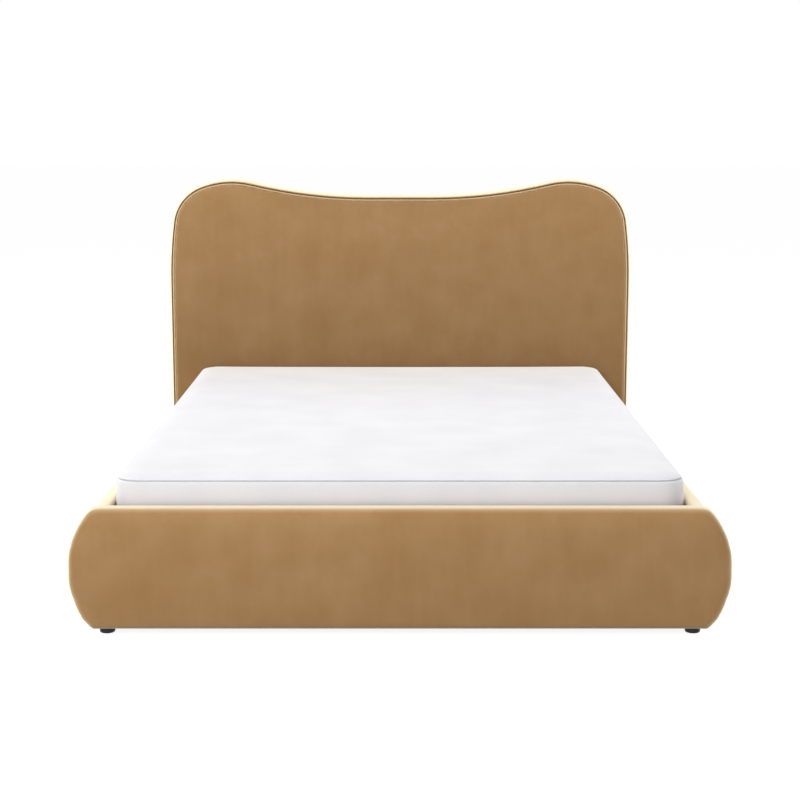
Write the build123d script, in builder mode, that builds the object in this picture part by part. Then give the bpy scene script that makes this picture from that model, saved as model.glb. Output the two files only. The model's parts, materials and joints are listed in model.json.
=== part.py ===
from build123d import *
import os
from math import atan, atan2, cos, degrees, hypot, radians, sin

os.makedirs("parts", exist_ok=True)

# The bed stands on the ground at height zero, with its foot end towards -Y and its headboard towards +Y.
# X is measured from its middle plane, and all sizes are in millimetres.

# Mattress, which sets the size of the bed
mattress_width = 1500
mattress_length = 2000
mattress_thickness = 160
mattress_corner_radius = 60
mattress_edge_radius = 14
mattress_bottom_bevel = 8
mattress_seam_drop = 9
mattress_seam_width = 3
mattress_seam_depth = 4

# Levels and the gaps round the mattress
foot_height = 27
panel_height = 302
mattress_sink = 91
side_gap = 15
head_gap = 12
foot_gap = 20
soft_gap = 0.3
cut_overrun = 10

# Upholstered rails and footboard
board_thickness = 18
under_wrap = 3
top_padding = 8
rail_top_width = 31
rail_belly_width = 95
rail_bottom_width = 38
rail_edge_radius = 9
footboard_thickness = 78
footboard_edge_radius = 12

# Headboard, whose seam outline has two humps with a dip between them
headboard_thickness = 100
headboard_reach = 104.5
seam_height = 1073
hump_place_share = 0.7314
dip_depth = 60
dip_flat_width = 240
crown_radius = 320
side_radius = 1640
crown_turn = 22
shoulder_turn = 60
border_width = 8
border_bevel = 4
border_setback = 7
piping_radius = 3.2
piping_faces = 8
piping_clearance = 0.2
cushion_edge_radius = 20
back_cover_thickness = 3
board_clearance = 0.5
head_rail_height = 160

# Feet, centre beam and storage floor
foot_radius = 19
foot_base_radius = 17
foot_offset = 6
foot_edge = 2
centre_leg_radius = 15
centre_leg_spacing = 600
centre_leg_count = 3
centre_beam_width = 60
ledge_size = 20
floor_thickness = 6
floor_panel_count = 3
floor_side_gap = 2
floor_joint_gap = 1

# Corner brackets and bolts
bracket_leg = 60
bracket_height = 60
bracket_thickness = 3
bracket_lift = 73
bolt_radius = 4
bolt_length = 15
bolt_head_radius = 7.5
nut_faces = 6
bolt_head_height = 4

# Platform frame
tube_width = 25
tube_height = 25
tube_wall = 2
tube_bevel = 2
centre_tube_width = 30
frame_inset = 25
frame_head_gap = 12
frame_foot_gap = 16
cap_thickness = 2
cap_plug_length = 12
cap_clearance = 0.1
cross_tube_shares = (1 / 3, 2 / 3)

# Sprung slats and their holders
slat_width = 63
slat_thickness = 8
slat_bow = 6
slats_per_row = 14
slat_margin = 30
slat_end_gap = 3
holder_length = 26
holder_wall = 2
holder_play = 0.4
holder_head_room = 1.4

# Rest brackets and buffers
rest_shares = (0.5, 0.9)
rest_length = 50
rest_depth = 60
rest_thickness = 3
rest_drop = 45
buffer_size = 20
buffer_height = 7

# Lift mechanism: places are measured from the mattress's head end towards its foot end,
# and down from the mattress's underside
lid_pivot_along = 255.2
lid_pivot_drop = 24.4
front_pin_along = 316.5
front_pin_drop = 33.3
strut_pin_along = 406.2
strut_pin_drop = 50.2
strut_base_along = 135.9
strut_base_drop = 160
rear_link_length = 158.7
rear_link_angle = 124.7
rear_link_sweep = 34.3
lid_opening = 40
front_pivot_reach = 209.6
link_width = 26
link_thickness = 5
link_gap = 0.4
arm_thickness = 4
arm_margin = 16
plate_thickness = 4
plate_margin = 24
plate_bevel = 10
pivot_radius = 5
pivot_play = 0.15
spacer_radius = 9
stud_head_radius = 9
stud_head_height = 3
pin_head_height = 2.6
strut_stud_radius = 4
strut_tube_radius = 10
strut_tube_wall = 1.5
strut_plate_gap = 3
strut_eye_radius = 11
strut_eye_thickness = 9
strut_neck_width = 12
strut_tube_start = 16
strut_tube_length = 219
strut_plug_length = 10
rod_radius = 4
rod_play = 0.3
piston_length = 12
piston_start = 70
socket_radius = 9
lift_stud_radius = 7
lift_stud_gap = 0.4

# Mattress retainers and pull tab
retainer_bar = 20
retainer_thickness = 4
retainer_width = 160
retainer_place = 350
retainer_height = 80
retainer_bend = 18
tab_width = 40
tab_length = 60
tab_thickness = 3
tab_end_radius = 14

# Levels
rail_bottom = foot_height
rail_top = rail_bottom + panel_height
mattress_bottom = rail_top - mattress_sink
mattress_top = mattress_bottom + mattress_thickness
board_bottom = rail_bottom + under_wrap
board_top = rail_top - top_padding
ledge_top = rail_bottom + ledge_size
floor_top = ledge_top + floor_thickness
slat_crown = mattress_bottom - soft_gap
slat_seat = slat_crown - slat_bow - slat_thickness
tube_top = slat_seat - holder_wall - holder_play
tube_bottom = tube_top - tube_height

# Places across the bed, from its middle
rail_inner = mattress_width / 2 + side_gap
board_outer = rail_inner + board_thickness
frame_outer = mattress_width / 2 - frame_inset
frame_inner = frame_outer - tube_width
plate_inner = rail_inner - plate_thickness
arm_outer = frame_outer + arm_thickness
link_inner = arm_outer + link_gap
link_outer = link_inner + link_thickness
strut_middle = plate_inner - strut_plate_gap - strut_tube_radius
eye_inner = strut_middle - strut_eye_thickness / 2
eye_outer = strut_middle + strut_eye_thickness / 2

# Places along the bed
inner_length = mattress_length + head_gap + foot_gap
bed_length = footboard_thickness + inner_length + headboard_thickness
front_y = -bed_length / 2
back_y = bed_length / 2
foot_inner_y = front_y + footboard_thickness
head_inner_y = foot_inner_y + inner_length
head_rail_y = head_inner_y - board_thickness
mattress_head_y = head_inner_y - head_gap
mattress_middle_y = mattress_head_y - mattress_length / 2
frame_head_y = mattress_head_y - frame_head_gap
frame_foot_y = mattress_head_y - mattress_length + frame_foot_gap
frame_length = frame_head_y - frame_foot_y

sides = (("left", -1), ("right", 1))
quarter_turn = 90
half_turn = 2 * quarter_turn


# Solids are shown by name and written to one file each
def finish(piece, label):
    piece.part.label = label
    export_step(piece.part, "parts/" + label + ".step")


# A point of the side view, given along the bed and below the mattress, as (y, z)
def lift_place(along, drop):
    return Vector(mattress_head_y - along, mattress_bottom - drop)


# The same point turned about a centre, positive where the foot end rises
def turned(point, centre, angle):
    offset = point - centre
    swing = -radians(angle)
    across = offset.X * cos(swing) - offset.Y * sin(swing)
    up = offset.X * sin(swing) + offset.Y * cos(swing)
    return Vector(centre.X + across, centre.Y + up)


# A direction of the side view, by its angle above the line to the foot end
def heading(angle):
    return Vector(-cos(radians(angle)), sin(radians(angle)))


# The angle of the line from one point to another above the line to the foot end
def angle_of(start, end):
    return degrees(atan2(end.Y - start.Y, start.X - end.X))


# Pivots of the lift, closed and open
lid_pivot = lift_place(lid_pivot_along, lid_pivot_drop)
front_pin = lift_place(front_pin_along, front_pin_drop)
strut_pin = lift_place(strut_pin_along, strut_pin_drop)
strut_base = lift_place(strut_base_along, strut_base_drop)
rear_pivot = lid_pivot - heading(rear_link_angle) * rear_link_length
lid_pivot_open = rear_pivot + heading(rear_link_angle - rear_link_sweep) * rear_link_length
lid_shift = lid_pivot_open - lid_pivot
front_pin_open = turned(front_pin, lid_pivot, lid_opening) + lid_shift
strut_pin_open = turned(strut_pin, lid_pivot, lid_opening) + lid_shift
pin_chord = front_pin_open - front_pin
pin_middle = (front_pin + front_pin_open) / 2
chord_length = hypot(pin_chord.X, pin_chord.Y)
front_pivot = pin_middle + Vector(pin_chord.Y, -pin_chord.X) * (-front_pivot_reach / chord_length)
strut_angle = angle_of(strut_base, strut_pin)
strut_closed = (strut_pin - strut_base).length
strut_open = (strut_pin_open - strut_base).length

front_turn = angle_of(front_pivot, front_pin_open) - angle_of(front_pivot, front_pin)
print("rear pivot", rear_pivot.X, rear_pivot.Y)
print("lid pivot", lid_pivot.X, lid_pivot.Y)
print("front pivot", front_pivot.X, front_pivot.Y, "turns", front_turn)
print("strut base", strut_base.X, strut_base.Y, "at", strut_angle)
print("strut turns", angle_of(strut_base, strut_pin_open) - strut_angle)
print("strut length", strut_closed, strut_open)


# A round of a pivot between two distances from the middle of the bed
def pivot_round(side, start, end, place, radius, mode=Mode.ADD):
    with BuildSketch(Plane.YZ.offset(side * start)) as face:
        with Locations((place.X, place.Y)):
            Circle(radius)
    extrude(face.sketch, amount=side * (end - start), mode=mode)


# A hexagon nut on a pivot, between two distances from the middle of the bed
def pivot_nut(side, start, end, place, radius):
    with BuildSketch(Plane.YZ.offset(side * start)) as face:
        with Locations((place.X, place.Y)):
            RegularPolygon(radius, nut_faces)
    extrude(face.sketch, amount=side * (end - start))


# Outline of the headboard: one half, from its bottom corner to the middle of the dip.
# The dip is flat, a hollow arc climbs to the crown of the hump, and the shoulder and the side follow.
half_seam = rail_inner + headboard_reach
hump_x = half_seam * hump_place_share
seam_top = rail_bottom + seam_height
dip_half = dip_flat_width / 2
hollow_turn = 2 * degrees(atan(dip_depth / (hump_x - dip_half)))
hollow_radius = (hump_x - dip_half) / sin(radians(hollow_turn)) - crown_radius
crown_end = quarter_turn - crown_turn
side_turn = crown_end - shoulder_turn
shoulder_span = half_seam - hump_x - crown_radius * cos(radians(crown_end))
shoulder_span = shoulder_span - side_radius * (1 - cos(radians(side_turn)))
shoulder_radius = shoulder_span / (cos(radians(side_turn)) - cos(radians(crown_end)))
crown_centre = Vector(hump_x, seam_top - crown_radius)
to_shoulder = Vector(cos(radians(crown_end)), sin(radians(crown_end)))
shoulder_centre = crown_centre + to_shoulder * (crown_radius - shoulder_radius)
to_side = Vector(cos(radians(side_turn)), sin(radians(side_turn)))
side_centre = shoulder_centre + to_side * (shoulder_radius - side_radius)
hollow_centre = Vector(dip_half, seam_top - dip_depth + hollow_radius)


def headboard_edge(grow):
    dip_level = seam_top - dip_depth + grow
    Line((half_seam + grow, rail_bottom), (half_seam + grow, side_centre.Y))
    CenterArc(side_centre, side_radius + grow, 0, side_turn)
    CenterArc(shoulder_centre, shoulder_radius + grow, side_turn, shoulder_turn)
    CenterArc(crown_centre, crown_radius + grow, crown_end, crown_turn + hollow_turn)
    CenterArc(hollow_centre, hollow_radius - grow, hollow_turn - quarter_turn, -hollow_turn)
    Line((dip_half, dip_level), (0, dip_level))


def headboard_face(grow):
    with BuildSketch() as face:
        with BuildLine():
            headboard_edge(grow)
            Line((0, seam_top - dip_depth + grow), (0, rail_bottom))
            Line((0, rail_bottom), (half_seam + grow, rail_bottom))
        make_face()
        mirror(about=Plane.YZ)
    return face.sketch


# A sheet or block of the headboard between two places along the bed
def headboard_slab(grow, front, back):
    extrude(Plane.XZ.offset(-back) * headboard_face(grow), amount=back - front)


# Headboard
board_back_y = back_y - back_cover_thickness
board_front_y = board_back_y - board_thickness

with BuildPart() as headboard_board:
    headboard_slab(-board_clearance, board_front_y, board_back_y)
finish(headboard_board, "headboard_board")

with BuildPart() as headboard_back_cover:
    headboard_slab(-board_clearance, board_back_y, back_y)
finish(headboard_back_cover, "headboard_back_cover")

cushion_inset = 2 * piping_radius + 2 * piping_clearance
with BuildPart() as headboard_cushion:
    headboard_slab(-cushion_inset, head_inner_y, board_front_y)
    front_face = headboard_cushion.faces().sort_by(Axis.Y)[0]
    front_edges = front_face.edges().sort_by(Axis.Z)[1:]
    fillet(front_edges, cushion_edge_radius)
finish(headboard_cushion, "headboard_cushion")

with BuildPart() as headboard_border:
    headboard_slab(border_width, head_inner_y + border_setback, back_y)
    border_front = headboard_border.faces().sort_by(Axis.Y)[0]
    border_back = headboard_border.faces().sort_by(Axis.Y)[-1]
    outer_edges = border_front.edges().sort_by(Axis.Z)[1:] + border_back.edges().sort_by(Axis.Z)[1:]
    chamfer(outer_edges, border_bevel)
    inside = Plane.XZ.offset(-back_y - cut_overrun) * headboard_face(0)
    extrude(inside, amount=headboard_thickness + 2 * cut_overrun, mode=Mode.SUBTRACT)
finish(headboard_border, "headboard_border")

piping_y = head_inner_y + border_setback
with BuildPart() as headboard_piping:
    with BuildLine() as piping_path:
        headboard_edge(-piping_radius - piping_clearance)
        mirror(about=Plane.YZ)
    piping_wire = Plane.XZ.offset(-piping_y) * Wire(piping_path.edges())
    with BuildSketch(Plane(origin=piping_wire @ 0, z_dir=piping_wire % 0)):
        RegularPolygon(piping_radius, piping_faces)
    sweep(path=piping_wire)
finish(headboard_piping, "headboard_piping")


# The bulged end of the rails and footboard, from its top corner to its bottom corner
top_corner_x = rail_inner + rail_top_width
belly_x = rail_inner + rail_belly_width
bottom_corner_x = rail_inner + rail_bottom_width
belly_level = (rail_bottom + rail_top) / 2


def bulge(side):
    top_corner = (side * top_corner_x, rail_top)
    bottom_corner = (side * bottom_corner_x, rail_bottom)
    ThreePointArc(top_corner, (side * belly_x, belly_level), bottom_corner)


# Places of the bolts, one on each leg of a corner bracket
bracket_bottom = board_bottom + bracket_lift
bolt_level = bracket_bottom + bracket_height / 2
bolt_reach = bracket_leg / 2 + bracket_thickness / 2
bolt_end_x = rail_inner - bolt_reach
corner_ends = (("foot", foot_inner_y, 1), ("head", head_rail_y, -1))


# Section of a bolt: a round shank or hole, or a hexagon head
def bolt_section(head):
    if head:
        RegularPolygon(bolt_head_radius, nut_faces)
    else:
        Circle(bolt_radius)


# Bolts along X through a side board, at both corners
def side_bolts(side, start, end, head=False, mode=Mode.ADD):
    for end_name, end_y, inward in corner_ends:
        with BuildSketch(Plane.YZ.offset(side * start)) as face:
            with Locations((end_y + inward * bolt_reach, bolt_level)):
                bolt_section(head)
        extrude(face.sketch, amount=side * (end - start), mode=mode)


# Bolts along Y through an end board, at both sides
def end_bolts(end_y, start, end, head=False, mode=Mode.ADD):
    for side_name, side in sides:
        with BuildSketch(Plane.XZ.offset(-end_y - start)) as face:
            with Locations((side * bolt_end_x, bolt_level)):
                bolt_section(head)
        extrude(face.sketch, amount=start - end, mode=mode)


# Head end of the storage box, behind the platform
with BuildPart() as head_rail_board:
    with BuildSketch(Plane.XY.offset(board_bottom)):
        with Locations((0, head_rail_y + board_thickness / 2)):
            Rectangle(2 * rail_inner, board_thickness)
    extrude(amount=head_rail_height)
    end_bolts(head_rail_y, 0, bolt_length, mode=Mode.SUBTRACT)
finish(head_rail_board, "head_rail_board")

# Side rails
for side_name, side in sides:
    with BuildPart() as side_rail_board:
        with BuildSketch(Plane.XZ.offset(-head_inner_y)):
            with Locations((side * (rail_inner + board_thickness / 2), (board_bottom + board_top) / 2)):
                Rectangle(board_thickness, board_top - board_bottom)
        extrude(amount=inner_length)
        side_bolts(side, rail_inner, rail_inner + bolt_length, mode=Mode.SUBTRACT)
    finish(side_rail_board, "side_rail_board_" + side_name)

    with BuildPart() as side_rail_pad:
        with BuildSketch(Plane.XZ.offset(-head_inner_y)) as rail_section:
            with BuildLine():
                bulge(side)
                Line((side * top_corner_x, rail_top), (side * rail_inner, rail_top))
                Line((side * rail_inner, rail_top), (side * rail_inner, rail_bottom))
                Line((side * rail_inner, rail_bottom), (side * bottom_corner_x, rail_bottom))
            make_face()
            outer_corners = rail_section.vertices().sort_by(Axis.X, reverse=side > 0)[:2]
            fillet(outer_corners, rail_edge_radius)
            with Locations((side * (rail_inner + board_thickness / 2), (board_bottom + board_top) / 2)):
                Rectangle(board_thickness, board_top - board_bottom, mode=Mode.SUBTRACT)
        extrude(amount=inner_length)
    finish(side_rail_pad, "side_rail_pad_" + side_name)

# Footboard
with BuildPart() as footboard_board:
    with BuildSketch(Plane.XZ.offset(-foot_inner_y)):
        with Locations((0, (board_bottom + board_top) / 2)):
            Rectangle(2 * board_outer, board_top - board_bottom)
    extrude(amount=board_thickness)
    end_bolts(foot_inner_y, 0, -bolt_length, mode=Mode.SUBTRACT)
finish(footboard_board, "footboard_board")

with BuildPart() as footboard_pad:
    with BuildSketch(Plane.XZ.offset(-foot_inner_y)) as foot_section:
        with BuildLine():
            bulge(1)
            bulge(-1)
            Line((-top_corner_x, rail_top), (top_corner_x, rail_top))
            Line((-bottom_corner_x, rail_bottom), (bottom_corner_x, rail_bottom))
        make_face()
        fillet(foot_section.vertices(), rail_edge_radius)
    extrude(amount=footboard_thickness)
    foot_front = footboard_pad.faces().sort_by(Axis.Y)[0]
    fillet(foot_front.edges(), footboard_edge_radius)
    with BuildSketch(Plane.XZ.offset(-foot_inner_y)):
        with Locations((0, (board_bottom + board_top) / 2)):
            Rectangle(2 * board_outer, board_top - board_bottom)
    extrude(amount=board_thickness, mode=Mode.SUBTRACT)
finish(footboard_pad, "footboard_pad")

# Corner brackets and their bolts
with BuildPart() as corner_brackets:
    for end_name, end_y, inward in corner_ends:
        for side_name, side in sides:
            corner = (side * rail_inner, end_y)
            with BuildSketch(Plane.XY.offset(bracket_bottom)):
                with BuildLine():
                    Polyline(
                        corner,
                        (corner[0] - side * bracket_leg, corner[1]),
                        (corner[0] - side * bracket_leg, corner[1] + inward * bracket_thickness),
                        (corner[0] - side * bracket_thickness, corner[1] + inward * bracket_thickness),
                        (corner[0] - side * bracket_thickness, corner[1] + inward * bracket_leg),
                        (corner[0], corner[1] + inward * bracket_leg),
                        close=True,
                    )
                make_face()
            extrude(amount=bracket_height)
    for side_name, side in sides:
        side_bolts(side, rail_inner - bracket_thickness, rail_inner, mode=Mode.SUBTRACT)
    for end_name, end_y, inward in corner_ends:
        end_bolts(end_y, 0, inward * bracket_thickness, mode=Mode.SUBTRACT)
finish(corner_brackets, "corner_brackets")

with BuildPart() as frame_bolts:
    for side_name, side in sides:
        head_start = rail_inner - bracket_thickness
        side_bolts(side, head_start, rail_inner + bolt_length)
        side_bolts(side, head_start - bolt_head_height, head_start, head=True)
    for end_name, end_y, inward in corner_ends:
        end_bolts(end_y, inward * bracket_thickness, -inward * bolt_length)
        head_end = inward * (bracket_thickness + bolt_head_height)
        end_bolts(end_y, head_end, inward * bracket_thickness, head=True)
finish(frame_bolts, "frame_bolts")

# Feet at the four corners, turned, with a bevelled rim at the ground
foot_ends = (("front", front_y + footboard_thickness / 2), ("rear", back_y - headboard_thickness / 2))
for end_name, foot_y in foot_ends:
    for side_name, side in sides:
        foot_x = side * (rail_inner + foot_offset)
        with BuildPart() as foot:
            with BuildSketch(Plane.XZ.offset(-foot_y)):
                with BuildLine():
                    Polyline(
                        (foot_x, 0),
                        (foot_x + foot_base_radius - foot_edge, 0),
                        (foot_x + foot_base_radius, foot_edge),
                        (foot_x + foot_radius, foot_height),
                        (foot_x, foot_height),
                        close=True,
                    )
                make_face()
            revolve(axis=Axis((foot_x, foot_y, 0), (0, 0, 1)))
        finish(foot, "foot_" + end_name + "_" + side_name)

# Centre beam and its legs
beam_start = foot_inner_y + ledge_size
beam_end = head_rail_y - ledge_size
with BuildPart() as centre_beam:
    with BuildSketch(Plane.XY.offset(rail_bottom)):
        with Locations((0, (beam_start + beam_end) / 2)):
            Rectangle(centre_beam_width, beam_end - beam_start)
    extrude(amount=ledge_size)
finish(centre_beam, "centre_beam")

with BuildPart() as centre_legs:
    with BuildSketch(Plane.XY):
        with GridLocations(0, centre_leg_spacing, 1, centre_leg_count):
            Circle(centre_leg_radius)
    extrude(amount=rail_bottom)
finish(centre_legs, "centre_legs")

# Ledges that carry the storage floor
box_length = head_rail_y - foot_inner_y
box_middle_y = (foot_inner_y + head_rail_y) / 2
side_ledge_x = rail_inner - ledge_size / 2
end_ledge_width = 2 * (rail_inner - ledge_size)
ledge_places = (
    ("left", -side_ledge_x, box_middle_y, ledge_size, box_length),
    ("right", side_ledge_x, box_middle_y, ledge_size, box_length),
    ("foot", 0, foot_inner_y + ledge_size / 2, end_ledge_width, ledge_size),
    ("head", 0, head_rail_y - ledge_size / 2, end_ledge_width, ledge_size),
)
for ledge_name, ledge_x, ledge_y, ledge_across, ledge_along in ledge_places:
    with BuildPart() as floor_ledge:
        with BuildSketch(Plane.XY.offset(rail_bottom)):
            with Locations((ledge_x, ledge_y)):
                Rectangle(ledge_across, ledge_along)
        extrude(amount=ledge_size)
    finish(floor_ledge, "floor_ledge_" + ledge_name)

# Storage floor
floor_width = 2 * (rail_inner - floor_side_gap)
floor_span = box_length - 2 * floor_side_gap
panel_length = (floor_span - (floor_panel_count - 1) * floor_joint_gap) / floor_panel_count
for panel in range(floor_panel_count):
    with BuildPart() as floor_panel:
        panel_start = foot_inner_y + floor_side_gap + panel * (panel_length + floor_joint_gap)
        with BuildSketch(Plane.XY.offset(ledge_top)):
            with Locations((0, panel_start + panel_length / 2)):
                Rectangle(floor_width, panel_length)
        extrude(amount=floor_thickness)
    finish(floor_panel, "floor_panel_" + str(panel + 1))

# Lift plates on the side rails, and the studs that the links and struts turn on
base_pivots = (strut_base, rear_pivot, front_pivot)
plate_start = strut_base.X + plate_margin
plate_end = front_pivot.X - plate_margin
plate_low = floor_top + floor_side_gap
plate_high = rear_pivot.Y + plate_margin
for side_name, side in sides:
    with BuildPart() as lift_plate:
        with BuildSketch(Plane.YZ.offset(side * plate_inner)) as plate_face:
            with Locations(((plate_start + plate_end) / 2, (plate_low + plate_high) / 2)):
                Rectangle(plate_start - plate_end, plate_high - plate_low)
            chamfer(plate_face.vertices(), plate_bevel)
            with Locations([(pivot.X, pivot.Y) for pivot in base_pivots]):
                Circle(pivot_radius, mode=Mode.SUBTRACT)
        extrude(amount=side * plate_thickness)
    finish(lift_plate, "lift_plate_" + side_name)

    with BuildPart() as pivot_studs:
        for pivot in (rear_pivot, front_pivot):
            spacer_end = link_outer + soft_gap
            head_start = link_inner - soft_gap
            pivot_round(side, head_start, rail_inner, pivot, pivot_radius)
            pivot_round(side, spacer_end, plate_inner, pivot, spacer_radius)
            pivot_nut(side, head_start - stud_head_height, head_start, pivot, stud_head_radius)
        strut_head_start = eye_inner - soft_gap
        pivot_round(side, plate_inner, rail_inner, strut_base, pivot_radius)
        pivot_round(side, strut_head_start, plate_inner, strut_base, strut_stud_radius)
        pivot_round(side, eye_outer + soft_gap, plate_inner, strut_base, lift_stud_radius)
        pivot_nut(side, strut_head_start - stud_head_height, strut_head_start, strut_base, lift_stud_radius)
    finish(pivot_studs, "pivot_studs_" + side_name)

# Rest brackets on the side rails, with the buffers that carry the closed platform
buffer_top = tube_bottom - soft_gap
rest_top = buffer_top - buffer_height
rest_places = [mattress_head_y - mattress_length * share for share in rest_shares]
with BuildPart() as rest_brackets:
    for side_name, side in sides:
        for rest_y in rest_places:
            with BuildSketch(Plane.XZ.offset(-rest_y - rest_length / 2)):
                with BuildLine():
                    Polyline(
                        (side * rail_inner, rest_top),
                        (side * (rail_inner - rest_depth), rest_top),
                        (side * (rail_inner - rest_depth), rest_top - rest_thickness),
                        (side * (rail_inner - rest_thickness), rest_top - rest_thickness),
                        (side * (rail_inner - rest_thickness), rest_top - rest_drop),
                        (side * rail_inner, rest_top - rest_drop),
                        close=True,
                    )
                make_face()
            extrude(amount=rest_length)
finish(rest_brackets, "rest_brackets")

with BuildPart() as rest_buffers:
    with BuildSketch(Plane.XY.offset(rest_top)):
        for side_name, side in sides:
            with Locations([(side * (frame_outer - tube_width / 2), rest_y) for rest_y in rest_places]):
                Rectangle(buffer_size, buffer_size)
    extrude(amount=buffer_height)
finish(rest_buffers, "rest_buffers")


# Platform frame of square steel tube
def tube_section(width, height):
    with BuildSketch() as section:
        Rectangle(width, height)
        chamfer(section.vertices(), tube_bevel)
        Rectangle(width - 2 * tube_wall, height - 2 * tube_wall, mode=Mode.SUBTRACT)
    return section.sketch


tube_middle = (tube_top + tube_bottom) / 2


# A tube along the bed, from its foot end to its head end
def tube_along(x, start, end, width):
    place = Plane.XZ.offset(-start) * Location((x, tube_middle, 0))
    extrude(place * tube_section(width, tube_height), amount=start - end)


# A tube across the bed, from its left end to its right end
def tube_across(y, start, end):
    place = Plane.YZ.offset(start) * Location((y, tube_middle, 0))
    extrude(place * tube_section(tube_width, tube_height), amount=end - start)


for side_name, side in sides:
    with BuildPart() as lid_side_tube:
        tube_along(side * (frame_outer - tube_width / 2), frame_foot_y, frame_head_y, tube_width)
    finish(lid_side_tube, "lid_side_tube_" + side_name)

head_tube_y = frame_head_y - tube_width / 2
foot_tube_y = frame_foot_y + tube_width / 2
with BuildPart() as lid_head_tube:
    tube_across(head_tube_y, -frame_inner, frame_inner)
finish(lid_head_tube, "lid_head_tube")

with BuildPart() as lid_foot_tube:
    tube_across(foot_tube_y, -frame_inner, frame_inner)
finish(lid_foot_tube, "lid_foot_tube")

with BuildPart() as lid_centre_tube:
    tube_along(0, frame_foot_y + tube_width, frame_head_y - tube_width, centre_tube_width)
finish(lid_centre_tube, "lid_centre_tube")

with BuildPart() as lid_cross_tubes:
    for share in cross_tube_shares:
        cross_y = frame_head_y - frame_length * share
        tube_across(cross_y, centre_tube_width / 2, frame_inner)
        tube_across(cross_y, -frame_inner, -centre_tube_width / 2)
finish(lid_cross_tubes, "lid_cross_tubes")

with BuildPart() as tube_end_caps:
    plug_size = tube_width - 2 * tube_wall - 2 * cap_clearance
    for side_name, side in sides:
        for cap_y, outward in ((frame_head_y, 1), (frame_foot_y, -1)):
            cap_place = (side * (frame_outer - tube_width / 2), tube_middle)
            with BuildSketch(Plane.XZ.offset(-cap_y)) as cap_face:
                with Locations(cap_place):
                    Rectangle(tube_width, tube_height)
                chamfer(cap_face.vertices(), tube_bevel)
            extrude(amount=-outward * cap_thickness)
            with BuildSketch(Plane.XZ.offset(-cap_y)):
                with Locations(cap_place):
                    Rectangle(plug_size, plug_size)
            extrude(amount=outward * cap_plug_length)
finish(tube_end_caps, "tube_end_caps")

# Lift arms: plates on the side tubes that carry the three upper pivots
arm_outline = (
    (lid_pivot.X + arm_margin + link_width / 2, tube_top),
    (strut_pin.X - arm_margin - link_width / 2, tube_top),
    (strut_pin.X - arm_margin, strut_pin.Y - arm_margin),
    (strut_pin.X + arm_margin, strut_pin.Y - arm_margin),
    (front_pin.X - arm_margin, front_pin.Y - arm_margin),
    (lid_pivot.X + arm_margin, lid_pivot.Y - arm_margin),
)
for side_name, side in sides:
    with BuildPart() as lift_arm:
        with BuildSketch(Plane.YZ.offset(side * frame_outer)):
            with BuildLine():
                Polyline(*arm_outline, close=True)
            make_face()
            with Locations((lid_pivot.X, lid_pivot.Y)):
                Circle(pivot_radius + pivot_play, mode=Mode.SUBTRACT)
        extrude(amount=side * arm_thickness)
        pivot_round(side, arm_outer, eye_inner - lift_stud_gap, strut_pin, lift_stud_radius)
    finish(lift_arm, "lift_arm_" + side_name)


# A flat link with round ends, bored at its first pivot and, where pinned, at its second
def link_bar(side, first, second, first_bore, second_bore):
    middle = (first + second) / 2
    tilt = degrees(atan2(second.Y - first.Y, second.X - first.X))
    with BuildSketch(Plane.YZ.offset(side * link_inner)) as face:
        with Locations((middle.X, middle.Y)):
            SlotCenterToCenter((second - first).length, link_width, rotation=tilt)
        with Locations((first.X, first.Y)):
            Circle(first_bore, mode=Mode.SUBTRACT)
        if second_bore > 0:
            with Locations((second.X, second.Y)):
                Circle(second_bore, mode=Mode.SUBTRACT)
    extrude(face.sketch, amount=side * link_thickness)


for side_name, side in sides:
    with BuildPart() as rear_link:
        link_bar(side, rear_pivot, lid_pivot, pivot_radius + pivot_play, pivot_radius)
    finish(rear_link, "rear_link_" + side_name)

    with BuildPart() as front_link:
        link_bar(side, front_pivot, front_pin, pivot_radius + pivot_play, 0)
        pivot_nut(side, link_outer, link_outer + pin_head_height, front_pin, stud_head_radius)
    finish(front_link, "front_link_" + side_name)

with BuildPart() as rear_link_pins:
    for side_name, side in sides:
        pivot_round(side, frame_outer + soft_gap, link_outer, lid_pivot, pivot_radius)
        pivot_nut(side, link_outer, link_outer + pin_head_height, lid_pivot, stud_head_radius)
finish(rear_link_pins, "rear_link_pins")


# Half section of a turned piece on the strut's own line, given as boxes of (start, end, inner, outer)
def strut_turning(side, rings):
    direction = heading(strut_angle)
    base = Vector(side * strut_middle, strut_base.X, strut_base.Y)
    line = Vector(0, direction.X, direction.Y)
    with BuildSketch(Plane(origin=base, x_dir=line, z_dir=(1, 0, 0))) as section:
        for start, end, inner, outer in rings:
            with Locations(((start + end) / 2, (inner + outer) / 2)):
                Rectangle(end - start, outer - inner)
    revolve(section.sketch, axis=Axis(base, line))


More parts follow.
